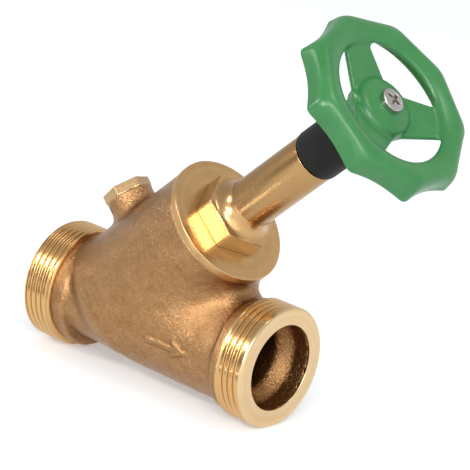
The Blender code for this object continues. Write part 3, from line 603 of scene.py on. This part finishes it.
def bodyOutside(p, x, r, s, stemR, t, plugR):
    # Run with its collar and lip, branch and boss, joined with fillets and cut off square at both ends
    v = bodyShape
    sideways = p[:, 1] ** 2 / np.maximum(r * r, 1e-6)
    pipe = r - np.interp(x, *v["run"]) - np.interp(x, *v["flanks"]) * sideways ** 2  # fuller at the sides
    collarR, collarEnd, collarRound, collarFillet = v["collar"]
    lipR, lipStart, lipRound, lipFillet = v["mouldLip"]
    collar = softMax(r - collarR, x - collarEnd, collarRound)
    lip = softMax(r - lipR, lipStart - x, lipRound)
    run = softMin(softMin(pipe, collar, collarFillet), lip, lipFillet)
    radius, top, domeTop, domeEnd, branchRound = v["branch"]
    sunk = np.minimum(s - domeTop, 0.0) * radius / (domeTop - domeEnd)
    branch = softMax(np.hypot(stemR, sunk) - radius, s - top, branchRound)
    tight, wide = v["fillets"]
    fadeLow, fadeHigh, fadeShare = v["filletFade"]
    fillet = tight + (wide - tight) * smoothStep(x, *v["filletGrowth"])
    fillet = fillet * (1 - fadeShare * smoothStep(s, fadeLow, fadeHigh))
    full = np.maximum(smoothStep(s, *v["underside"]), smoothStep(sideways, *v["sides"]))
    fillet *= v["underShare"] + (1 - v["underShare"]) * full  # narrow underneath
    outside = softMin(run, branch, fillet)
    bossR, footR, footAt, flareTop, bossTop = v["boss"]
    flare = bossR + (footR - bossR) * np.clip((flareTop - t) / (flareTop - footAt), 0, 1)
    boss = np.maximum(plugR - flare, v["bossRoot"] - t)
    outside = softMin(outside, boss, v["bossFillet"])
    outside = outside + v["waviness"] * unevenness(p) - arrowRelief(p)
    onTop = np.where(plugR < 2 * bossR, t - bossTop, -1.0)
    outside = softMax(outside, np.maximum(s - top, onTop), v["topRound"])
    near, far = v["ends"]
    return np.maximum(outside, np.maximum(near - x, x - far))


def bodyHollow(p, x, r, s, stemR, t, plugR):
    # Ways in and out on either side of the bridge, chamber, bonnet's mouth, seat and plug hole
    v = bodyShape
    socketR, funnelStart, funnelEnd = v["socket"]
    inwards = runLength / 2 - np.abs(x - runLength / 2)  # distance from the nearer end
    deep, scale, shift = v["wobble"]
    wobble = deep * unevenness(scale * p + shift) * smoothStep(inwards, *v["wobbleFade"])
    narrowing = smoothStep(inwards, funnelStart, funnelEnd)
    passage = r - socketR + (socketR - v["bore"]) * narrowing + wobble
    bridgeLow, bridgeTop = v["bridge"]
    chamberR, chamberLow, mouthLow = v["chamber"]
    mouthR, recessLow, recessR = v["mouth"]
    seatR, seatLow, seatRecessR = v["seat"]
    seatFrom, seatTo = v["seatReach"]
    soft = v["hollowRound"]
    return np.minimum.reduce([
        np.maximum(softMax(passage, s - bridgeLow, soft), x - v["wayInEnd"]),
        np.maximum(softMax(passage, bridgeTop - s, soft), v["wayOutStart"] - x),
        softMax(stemR - chamberR, chamberLow - s, soft),
        np.maximum(stemR - mouthR, mouthLow - s),
        np.maximum(stemR - recessR, recessLow - s),
        np.maximum(stemR - seatR, np.maximum(seatFrom - s, s - seatTo)),
        np.maximum(stemR - seatRecessR, np.maximum(seatLow - s, s - seatTo)),
        np.maximum(plugR - v["plugHole"][0], v["plugHole"][1] - t),
        np.maximum(plugR - v["sealRecess"][0], v["sealRecess"][1] - t)])


def bodyField(p):
    # Below zero in the metal: the outside with a stub in each thread, less the hollow
    v = bodyShape
    x, r = aboutAxis(p, runFrame)
    about = (x, r, *aboutAxis(p, stemFrame), *aboutAxis(p, plugFrame))
    stubR, depth = v["stub"]
    stub = np.maximum(r - stubR, np.maximum(depth - x, x - runLength + depth))
    solid = np.minimum(bodyOutside(p, *about), stub)
    return softMax(solid, -bodyHollow(p, *about), v["edgeRound"])


casting = netSurface(bodyField, bodyShape["box"], bodyShape["step"])
newPiece("bodyCasting", casting, "body", ["valve_body"], "castBronze", 50)

threadShape = {
    "crest": 20.955, "pitch": 2.309, "depth": 1.479, "round": 0.317, "flank": radians(27.5),
    "cut": 0.7, "cutRound": 0.2, "cutLift": 0.01, "runOut": (2.0, 0.4), "backDrop": 0.6, "backSlope": 1.4,
    "noseRows": 10, "socket": 14.88, "socketRound": 0.35, "lip": 0.85, "lipRound": 0.1,
    "inside": 16.2, "insideRound": 0.3, "arcSteps": 8, "columns": 288, "rows": 160,
}
threadEnds = {
    "inletThread": {"flip": False, "turn": 0.15, "length": 13.1, "chamfer": 1.9, "nose": 0.0,
                    "fade": (0.0, 0.1)},
    "outletThread": {"flip": True, "turn": 0.4, "length": 11.3, "chamfer": 0.0, "nose": 1.1,
                     "fade": (1.6, 2.7)},
}


def threadDepth(u):
    # Pipe thread's section by the distance u from the nearest crest: an arc over the crest, a straight flank
    # and an arc in the root, as a depth below the crest, which is cut flat as pipe threads often are
    v = threadShape
    size = v["round"]
    arcEnd = size * cos(v["flank"])
    crestArc = size - np.sqrt(np.maximum(size ** 2 - u ** 2, 0.0))
    fromRoot = v["pitch"] / 2 - u
    rootArc = v["depth"] - size + np.sqrt(np.maximum(size ** 2 - fromRoot ** 2, 0.0))
    flank = size * (1 - sin(v["flank"])) + (u - arcEnd) / np.tan(v["flank"])
    full = np.where(u < arcEnd, crestArc, np.where(fromRoot < arcEnd, rootArc, flank))
    return softMax(full - v["cut"], np.zeros_like(full), v["cutRound"]) - v["cutLift"]


def threadEnd(name, plan):
    # Radius = crest less the depth at (station / pitch - angle / 2 pi), faded in from the open end and out at
    # the back, under a chamfer or a quarter round. Then the hidden back, the lip and the end face.
    v = threadShape
    nose, length, columns = plan["nose"], plan["length"], v["columns"]
    start = nose * (1 - np.cos(np.linspace(0, pi / 2, v["noseRows"])))[:-1]
    station = np.concatenate([start, np.linspace(nose, length, v["rows"])])
    angle = 2 * pi * np.arange(columns) / columns
    s, a = np.meshgrid(station, angle, indexing="ij")
    hand = -1 if plan["flip"] else 1
    phase = (s / v["pitch"] - hand * a / (2 * pi) + plan["turn"]) % 1.0
    deep = threadDepth(v["pitch"] * np.minimum(phase, 1 - phase))
    outFrom, outTo = v["runOut"]
    deep = deep * smoothStep(s, *plan["fade"]) * (1 - smoothStep(s, length - outFrom, length - outTo))
    cap = v["crest"] - plan["chamfer"] + s
    if nose:
        corner = np.maximum(nose - s, 0.0)
        cap = v["crest"] - nose + np.sqrt(nose ** 2 - corner ** 2)
    ease = v["crest"] - v["backDrop"] + (length - s) * v["backSlope"]
    radius = np.minimum(np.minimum(v["crest"] - deep, cap), ease)
    inner = roundedProfile([
        (v["crest"], length), (v["inside"], length, v["insideRound"]), (v["inside"], v["lip"]),
        (v["socket"], v["lip"], v["lipRound"]), (v["socket"], 0.0, v["socketRound"]), (radius[0, 0], 0.0)],
        v["arcSteps"])[1:-1]
    rows = np.concatenate([np.stack([radius, s], -1), np.repeat(inner[:, None, :], columns, 1)])
    along = runLength - rows[..., 1] if plan["flip"] else rows[..., 1]
    points = placed(ringPoints(rows[..., 0], angle, along), runFrame)
    newPiece(name, (points, ringQuads(len(rows), columns, True), noTris), "body", ["valve_body"],
             "turnedThread", 40)


for name, plan in threadEnds.items():
    threadEnd(name, plan)


# Hexagons: profile rows at the mark and over take the hexagon's radius, less what they are over the mark

hexMark = 40.0


def hexShape(flats, turn, rounding):
    # Hexagon with corners at turn + 60 k degrees, each corner an arc of the rounding's radius
    def shape(radius, angle):
        offset = (angle - turn + pi / 6) % (pi / 3) - pi / 6  # from the nearest corner
        flat = flats / 2 / np.cos(pi / 6 - np.abs(offset))
        centre = (flats / 2 - rounding) / cos(pi / 6)
        reach = rounding ** 2 - (centre * np.sin(offset)) ** 2
        arc = centre * np.cos(offset) + np.sqrt(np.maximum(reach, 0))
        hexagon = np.where(reach > 0, np.minimum(flat, arc), flat)
        return np.where(radius < hexMark, radius, hexagon - (radius - hexMark))
    return shape


# Bonnet: flange, hexagon, hollow cone and neck, turned on the stem axis

bonnetShape = {
    "flange": (22.4, 57.03, 59.6),  # radius, underside and top
    "hexFoot": 14.6, "hexTop": 66.9, "hex": (24.0, radians(5), 0.45),  # flats, turn and corners' rounding
    "hexRows": ((0.0, -0.35), (0.0, -0.15), (0.05, -0.05), (0.15, 0.0)),  # inset and drop at its top
    "neck": (8.6, 71.9, 104.2),  # radius, start and top
    "cone": (3.3, 0.3, 14),  # widening, share of straight line and rows
    "skirt": (16.5, 34.0), "shank": (18.2, 46.0), "taper": 1.5,  # radius and station
    "guide": 10.4, "guideTop": 62.0, "collar": (7.6, 66.3), "bore": 5.3, "gland": (7.0, 97.0),
    "columns": 432,
}


def makeBonnet():
    # Profile up the outside, over the neck and down the bore, carried round the stem
    v = bonnetShape
    flangeR, flangeLow, flangeTop = v["flange"]
    skirtR, skirtEnd = v["skirt"]
    shankR, shankLow = v["shank"]
    neckR, neckStart, neckTop = v["neck"]
    glandR, glandLow = v["gland"]
    collarR, collarTop = v["collar"]
    hexTop = v["hexTop"]
    # Hollow cone from the hexagon's top to the neck: part quarter ellipse, part straight line
    coneWide, straight, coneRows = v["cone"]
    sweep = np.linspace(0, 1, coneRows)
    coneR = neckR + coneWide * ((1 - straight) * (1 - np.sin(sweep * pi / 2)) + straight * (1 - sweep))
    coneS = hexTop + (neckStart - hexTop) * ((1 - straight) * (1 - np.cos(sweep * pi / 2)) + straight * sweep)
    outer = roundedProfile([
        (v["guide"], skirtEnd), (skirtR, skirtEnd, 0.3), (skirtR, shankLow - v["taper"]), (shankR, shankLow),
        (shankR, flangeLow, 0.1), (flangeR, flangeLow, 0.25), (flangeR, flangeTop, 0.35),
        (v["hexFoot"], flangeTop)])
    hexRows = np.array([(hexMark, flangeTop), (hexMark, flangeTop + 0.3),
                        *((hexMark + inset, hexTop + drop) for inset, drop in v["hexRows"])])
    rest = roundedProfile([
        (neckR, neckStart + 0.3), (neckR, neckTop, 0.3), (glandR, neckTop, 0.2), (glandR, glandLow),
        (v["bore"], glandLow, 0.2), (v["bore"], collarTop, 0.2), (collarR, collarTop),
        (collarR, v["guideTop"], 0.2), (v["guide"], v["guideTop"])])
    profile = np.concatenate([outer, hexRows, np.stack([coneR, coneS], 1), rest])
    shell = carriedRound(profile, v["columns"], stemFrame, hexShape(*v["hex"]), v["hex"][1])
    newPiece("bonnetTurned", shell, "body", ["bonnet"], "turnedBonnet", 26)


makeBonnet()

sleeveShape = {"bore": 5.3, "recess": (7.3, 107.4), "radius": 8.95, "ends": (104.5, 125.7),
               "round": (1.0, 0.35), "columns": 160}


def makeSleeve():
    # Tube with rounded edges, wider inside at its foot, carried round the stem
    v = sleeveShape
    low, high = v["ends"]
    recessR, recessTop = v["recess"]
    profile = roundedProfile([
        (recessR, low), (v["radius"], low, v["round"][0]), (v["radius"], high, v["round"][1]),
        (v["bore"], high, 0.2), (v["bore"], recessTop, 0.1), (recessR, recessTop)])
    shell = carriedRound(profile, v["columns"], stemFrame)
    newPiece("sleeveMoulded", shell, "wheel", ["spacer_sleeve"], "blackPlastic")


makeSleeve()


# Drain plug with its seal, square to the stem

plugShape = {
    "head": (27.8, 31.15), "hex": (14.7, radians(46), 0.3), "edge": 0.15, "shank": (4.7, 17.8),
    "faceRows": (6.6, 5.6, 3.0, 0.0), "columns": 240,
    "seal": (5.0, 6.9, 26.9, 27.6),  # inner and outer radius, bottom and lid
    "sealRound": 0.25, "sealColumns": 120,
}


def makePlug():
    # Shank and hexagon head carried round the plug's axis, then a flat ring under the head
    v = plugShape
    low, high = v["head"]
    edge = v["edge"]
    shankR, shankEnd = v["shank"]
    shank = roundedProfile([(0, shankEnd), (shankR, shankEnd, 0.6), (shankR, low, 0.2),
                            (v["faceRows"][0], low)])
    sweep = np.linspace(0, pi / 2, 4)
    drop = edge * (1 - np.sin(sweep))  # edges rounded off by a small quarter circle
    inset = edge * (1 - np.cos(sweep))
    margin = np.array([[hexMark, low + 2 * edge], [hexMark, high - 2 * edge]])  # keeps the flats flat
    rows = np.concatenate([np.stack([hexMark + inset[::-1], low + drop[::-1]], 1), margin,
                           np.stack([hexMark + inset, high - drop], 1)])
    top = np.array([(radius, high) for radius in (hexMark + 2 * edge, *v["faceRows"])])
    profile = np.concatenate([shank, rows, top])
    shell = carriedRound(profile, v["columns"], plugFrame, hexShape(*v["hex"]), v["hex"][1])
    newPiece("plugTurned", shell, "body", ["drain_plug"], "turnedPlug", 26)
    inner, outer, bottom, lid = v["seal"]
    ring = roundedProfile([(inner, bottom), (outer, bottom, v["sealRound"]), (outer, lid, v["sealRound"]),
                           (inner, lid)])
    shell = carriedRound(ring, v["sealColumns"], plugFrame)
    newPiece("plugSealRing", shell, "body", ["drain_plug_seal"], "sealRubber")


makePlug()


# Handwheel: lobed rim with a hollow underside, three spokes and a hub

wheelShape = {
    "lobes": 9, "turn": radians(22.4), "blunt": 2.1,
    "bottom": (33.65, 1.8, 134.3), "top": (32.1, 0.0, 143.5),  # corner radius, scallop and station
    "crown": (27.8, 0.04, 0.0556),  # radius of the highest circle, fall of the top outside and inside it
    "slope": 0.97, "edge": 4.6, "inner": 21.8, "lipEdge": 1.2, "lowEdge": 0.9,
    "lipBottom": 140.1, "groove": (26.6, 27.6), "grooveFoot": 1.0, "grooveRounds": (1.0, 0.8),
    "spokes": 3, "spokeTurn": radians(62.5), "spokeWidths": (8.3, 5.3), "spokeReach": (8.0, 25.0),
    "spokeTops": (136.6, 141.2), "climbEnds": (-0.3, 1.1), "spokeThick": 2.2, "spokeEnd": 25.5,
    "spokeRounds": (1.3, 0.5),
    "hub": (10.5, 8.8, 126.0, 131.0, 140.5),  # radius, foot's radius, bottom, shoulder, top
    "hubDome": 1.9, "hubEdge": 1.8, "hubRounds": (1.2, 0.5),
    "square": 3.8, "squareTop": 137.1, "hole": 2.2, "holeRound": 0.3, "fillets": (1.5, 2.0),
    "box": ((-35.0, -35.0, 124.0), (35.0, 35.0, 145.0)), "step": 0.46,
}


def between(pair, share):
    return pair[0] + (pair[1] - pair[0]) * share


def turnedAbout(q, turn):
    # x and y in axes turned about the stem
    return q[:, 0] * cos(turn) + q[:, 1] * sin(turn), -q[:, 0] * sin(turn) + q[:, 1] * cos(turn)


def lobeRadius(angle, corner, scallop):
    # Hollow curve between corners: chord of the corner radius less a parabola, each corner blunted where the
    # curve meets the next one
    v = wheelShape
    step = pi / v["lobes"]
    here = np.abs((angle - v["turn"]) % (2 * step) - step)
    curves = [corner * cos(step) / np.cos(part) - scallop * (1 - (part / step) ** 2)
              for part in (here, 2 * step - here)]
    return softMin(*curves, v["blunt"])


def rimField(s, r, angle):
    # Lobed outside under a crowned top, open in the middle, less a groove under the inner lip
    v = wheelShape
    lowCorner, lowScallop, low = v["bottom"]
    highCorner, highScallop, high = v["top"]
    climb = np.clip((s - low) / (high - low), 0, 1)
    outer = lobeRadius(angle, between((lowCorner, highCorner), climb),
                       between((lowScallop, highScallop), climb))
    crownR, fallOut, fallIn = v["crown"]
    crown = high - np.where(r > crownR, fallOut, fallIn) * (r - crownR) ** 2  # top, highest on one circle
    rim = softMax((r - outer) * v["slope"], s - crown, v["edge"])
    rim = softMax(rim, v["inner"] - r, v["lipEdge"])
    rim = softMax(rim, low - s, v["lowEdge"])
    lipBottom = v["lipBottom"]
    grooveR = between(v["groove"], np.clip((lipBottom - s) / (lipBottom - low - v["grooveFoot"]), 0, 1))
    topRound, mouthRound = v["grooveRounds"]
    groove = softMax(r - grooveR, s - lipBottom, topRound)
    return softMax(rim, -groove, mouthRound)


def hubField(s, r):
    # Domed disc on a narrower foot
    v = wheelShape
    hubR, footR, hubLow, shoulder, hubTop = v["hub"]
    shoulderRound, footRound = v["hubRounds"]
    domed = s - hubTop + v["hubDome"] * (r / hubR) ** 2
    hub = softMax(softMax(r - hubR, domed, v["hubEdge"]), shoulder - s, shoulderRound)
    return np.minimum(hub, softMax(r - footR, np.maximum(hubLow - s, domed), footRound))


def spokeField(q, turn):
    # Flat bar that narrows and climbs from the hub to the rim
    v = wheelShape
    along, across = turnedAbout(q, turn)
    near, far = v["spokeReach"]
    sideRound, endRound = v["spokeRounds"]
    share = (along - near) / (far - near)
    top = between(v["spokeTops"], np.clip(share, *v["climbEnds"]))
    thick = np.abs(q[:, 2] - top + v["spokeThick"] / 2) - v["spokeThick"] / 2
    bar = softMax(np.abs(across) - between(v["spokeWidths"], share), thick, sideRound)
    return softMax(bar, np.maximum(-along, along - v["spokeEnd"]), endRound)


def wheelField(q):
    # Read in the stem's own axes: rim, spokes and hub joined with fillets, less the socket for the stem
    v = wheelShape
    s = q[:, 2]
    r = np.hypot(q[:, 0], q[:, 1])
    turns = v["spokeTurn"] + 2 * pi * np.arange(v["spokes"]) / v["spokes"]
    wheel = np.minimum.reduce([spokeField(q, turn) for turn in turns])
    hubFillet, rimFillet = v["fillets"]
    wheel = softMin(wheel, hubField(s, r), hubFillet)
    wheel = softMin(wheel, rimField(s, r, np.arctan2(q[:, 1], q[:, 0])), rimFillet)
    side = np.maximum(*np.abs(turnedAbout(q, v["spokeTurn"] + pi / 4)))
    socketHole = np.maximum(side - v["square"], s - v["squareTop"])
    return softMax(wheel, -np.minimum(socketHole, r - v["hole"]), v["holeRound"])


points, quads, tris = netSurface(wheelField, wheelShape["box"], wheelShape["step"])
newPiece("handwheelPainted", (placed(points, stemFrame), quads, tris), "wheel", ["handwheel"],
         "greenPaint", 60)

screwShape = {
    "head": 4.15, "seat": 139.9, "top": 142.5, "dome": 0.6, "domePowers": (0.62, 0.9), "domeRows": 64,
    "shank": (1.9, 124.0), "recess": (2.6, 0.6, 1.5),  # reach, half width and depth
    "sideWall": 0.12, "endWall": (0.15, 0.45), "floor": 0.4, "turn": radians(30), "columns": 192,
}


def makeScrew():
    # Low domed head, its top a height over (radius, angle) less two crossing slots with soft walls
    v = screwShape
    low, high = v["seat"], v["top"]
    rim = high - v["dome"]
    shankR, shankEnd = v["shank"]
    reach, width, deep = v["recess"]
    body = roundedProfile([(0, shankEnd), (shankR, shankEnd, 0.4), (shankR, low, 0.1), (v["head"], low, 0.2),
                           (v["head"], rim)])
    sweep = np.linspace(0.0, 1.0, v["domeRows"]) * pi / 2
    domeR = v["head"] * np.cos(sweep) ** v["domePowers"][0]
    domeS = rim + v["dome"] * np.sin(sweep) ** v["domePowers"][1]
    profile = np.concatenate([body, np.stack([domeR, domeS], 1)[1:-1], [[0.0, high - deep]]])
    pts, faces, tris = carriedRound(profile, v["columns"], runFrame)
    flat = local(pts, runFrame)
    x, y = np.abs(turnedAbout(flat, v["turn"]))
    side = v["sideWall"]
    endOut, endSpan = v["endWall"]
    slots = [smoothStep(width + side - two, 0.0, 2 * side) * smoothStep(reach + endOut - one, 0.0, endSpan)
             for one, two in ((x, y), (y, x))]
    onTop = flat[:, 2] > rim + 0.01
    onTop[-1] = False
    cutDepth = np.minimum(deep, flat[:, 2] - high + deep + v["floor"]) * np.maximum(*slots)
    flat[:, 2] -= np.where(onTop, cutDepth, 0.0)
    newPiece("screwNickel", (placed(flat, stemFrame), faces, tris), "wheel", ["handwheel_screw"],
             "satinSteel", 40)


makeScrew()


# The pieces inside keep their solids and get the finish of their slot

slotFinish = {
    "turned_bronze": "turnedBonnet", "cast_bronze": "castBronze", "brass": "turnedBrass",
    "steel": "satinSteel", "black_plastic": "blackPlastic", "slip_plastic": "slipPlastic",
    "seal_rubber": "sealRubber", "green_paint": "greenPaint",
}
for part in frame["record"]["subparts"]:
    node = frame["nodes"][part["node"]]
    node.data.materials.clear()
    node.data.materials.append(finishes[slotFinish[part["material_slot"]]])
print("inner pieces dressed")


# Stage: floor, soft lamps, cards and camera

white = (1.0, 1.0, 1.0, 1.0)
square = ((-1, -1), (1, -1), (1, 1), (-1, 1))
stageLook = {
    "floorAt": -20.97, "floorSize": 3000.0, "floorColour": (0.765, 0.80, 0.83), "floorRoughness": 0.9,
    "floorLift": 0.36, "ambient": (0.35, 0.8),  # at the horizon and overhead
    "sky": 0.68, "skySpan": (0.15, 0.85), "leftSide": 0.66, "leftSpan": (-0.9, 0.1),  # as mirrors see it
}


def whiteMask(tree):
    # 1 for what the camera, a mirror or a glass sees, 0 for what only lights the object
    path = addNode(tree, "LightPath")
    seen = mathNode(tree, "MAXIMUM", path.outputs["Is Camera Ray"], path.outputs["Is Glossy Ray"])
    return mathNode(tree, "MAXIMUM", seen, path.outputs["Is Transmission Ray"])


def makeFloor():
    v = stageLook
    mesh = bpy.data.meshes.new("floorSheet")
    corners = [Vector((x * v["floorSize"], y * v["floorSize"], v["floorAt"])) * mm for x, y in square]
    mesh.from_pydata(corners, [], [(0, 1, 2, 3)])
    floor = addObject("floorSheet", mesh)
    made, tree, shader = newFinish("paleFloor", {
        "Base Color": (*v["floorColour"], 1.0), "Roughness": v["floorRoughness"], "Specular IOR Level": 0.0,
        "Emission Color": white})
    lift = times(tree, whiteMask(tree), v["floorLift"])
    tree.links.new(lift, shader.inputs["Emission Strength"])
    mesh.materials.append(made)


def makeWorld():
    # White to the camera, dimmer overhead and on the left in reflections, and a plain ambient light
    v = stageLook
    world = bpy.data.worlds.new("studio")
    bpy.context.scene.world = world
    world.use_nodes = True
    tree = world.node_tree
    back = tree.nodes["Background"]
    path = addNode(tree, "LightPath")
    x, _, z = addNode(tree, "SeparateXYZ", Vector=addNode(tree, "TexCoord").outputs["Generated"]).outputs
    level = times(tree, rangeNode(tree, z, *v["skySpan"], 1.0, v["sky"]),
                  rangeNode(tree, x, *v["leftSpan"], v["leftSide"], 1.0))
    level = mathNode(tree, "MAXIMUM", level, path.outputs["Is Camera Ray"])
    ambient = rangeNode(tree, z, 0.0, 1.0, *v["ambient"])
    strength = addNode(tree, "Mix", Factor=whiteMask(tree), A=ambient, B=level)
    back.inputs["Color"].default_value = white
    tree.links.new(strength.outputs[0], back.inputs["Strength"])


# Lamps and cards by direction seen from the middle of the valve: turn 0 is the -Y side, 90 the +X side
aim = Vector((58.0, 0.0, 34.0))
lampPlan = {  # turn, rise, distance, width, height and watts
    "keySoftbox": (-44, 26, 900, 205, 75, 1.87),
    "frontSoftbox": (42, 31, 1000, 300, 120, 2.4),
    "flatSoftbox": (26.8, 29.5, 1000, 130, 130, 1.05),
    "boreSoftbox": (62, 16, 1000, 200, 200, 0.8),
    "backSoftbox": (90, 65, 1000, 300, 300, 1.8),
}
# Cards are seen only in reflections: a dark room to the front left, a bright window in front, a pale wall for
# the bore, and on the floor a dark strip before each thread and a gleam for the neck
cardPlan = {  # turn, rise, distance, width, height and strength
    "farCard": (-33, 7.5, 800, 360, 340, 0.3),
    "highCard": (-52, 43, 900, 520, 300, 0.5),
    "frontCard": (4, 20, 900, 240, 240, 20.0),
    "boreCard": (54, 12, 900, 700, 640, 2.0),
}
strip = ((-46, -60), (-6, -60), (-434, -640), (-478, -640))
floorCards = {  # corners, shift along x, height and strength
    "inletStrip": (strip, 0, -20.5, 0.35),
    "outletStrip": (strip, 87, -20.5, 0.35),
    "neckGleam": (((36.3, -84.6), (43.7, -87.4), (62.7, -137.4), (55.3, -134.6)), 0, -20.3, 12.0),
}


def facing(turn, rise, far):
    # Stands off from the aim and faces it
    a, e = radians(turn), radians(rise)
    back = Vector((sin(a) * cos(e), -cos(a) * cos(e), sin(e)))
    place = (aim + back * far) * mm
    return Matrix.Translation(place) @ back.to_track_quat("Z", "Y").to_matrix().to_4x4()


def makeLamp(name, turn, rise, far, wide, high, watts):
    data = bpy.data.lights.new(name, "AREA")
    data.shape = "RECTANGLE"
    data.size = wide * mm
    data.size_y = high * mm
    data.energy = watts
    lamp = addObject(name, data)
    lamp.matrix_world = facing(turn, rise, far)
    lamp.visible_camera = False


def makeCard(name, corners, strength):
    mesh = bpy.data.meshes.new(name)
    mesh.from_pydata(corners, [], [(0, 1, 2, 3)])
    card = addObject(name, mesh)
    card.visible_camera = False
    card.visible_diffuse = False
    card.visible_shadow = False
    made = bpy.data.materials.new(name)
    made.use_nodes = True
    tree = made.node_tree
    glow = addNode(tree, "Emission", Strength=strength)
    tree.links.new(glow.outputs[0], tree.nodes["Material Output"].inputs["Surface"])
    mesh.materials.append(made)


def makeLights():
    for name, plan in lampPlan.items():
        makeLamp(name, *plan)
    for name, (turn, rise, far, wide, high, strength) in cardPlan.items():
        stand = facing(turn, rise, far)
        corners = [stand @ Vector((x * wide * mm / 2, y * high * mm / 2, 0)) for x, y in square]
        makeCard(name, corners, strength)
    for name, (corners, shift, height, strength) in floorCards.items():
        makeCard(name, [Vector((x + shift, y, height)) * mm for x, y in corners], strength)


# The photograph's viewpoint: place in mm, then the way it looks as turn, rise and roll
cameraFit = {"lens": 234.745, "sensor": 36.0, "clip": (0.05, 20.0), "place": (669.66, -765.02, 340.84),
             "turn": 37.9642, "rise": 17.3333, "roll": 8.4893}


def makeCamera():
    v = cameraFit
    data = bpy.data.cameras.new("camera")
    data.lens = v["lens"]
    data.sensor_width = v["sensor"]
    data.clip_start, data.clip_end = v["clip"]
    camera = addObject("camera", data)
    camera.matrix_world = (Matrix.Translation(Vector(v["place"]) * mm)
                           @ Matrix.Rotation(radians(v["turn"]), 4, "Z")
                           @ Matrix.Rotation(radians(90 - v["rise"]), 4, "X")
                           @ Matrix.Rotation(radians(v["roll"]), 4, "Z"))
    bpy.context.scene.camera = camera


makeFloor()
makeWorld()
makeLights()
makeCamera()
bpy.context.scene.view_settings.view_transform = "Standard"
print("stage set")
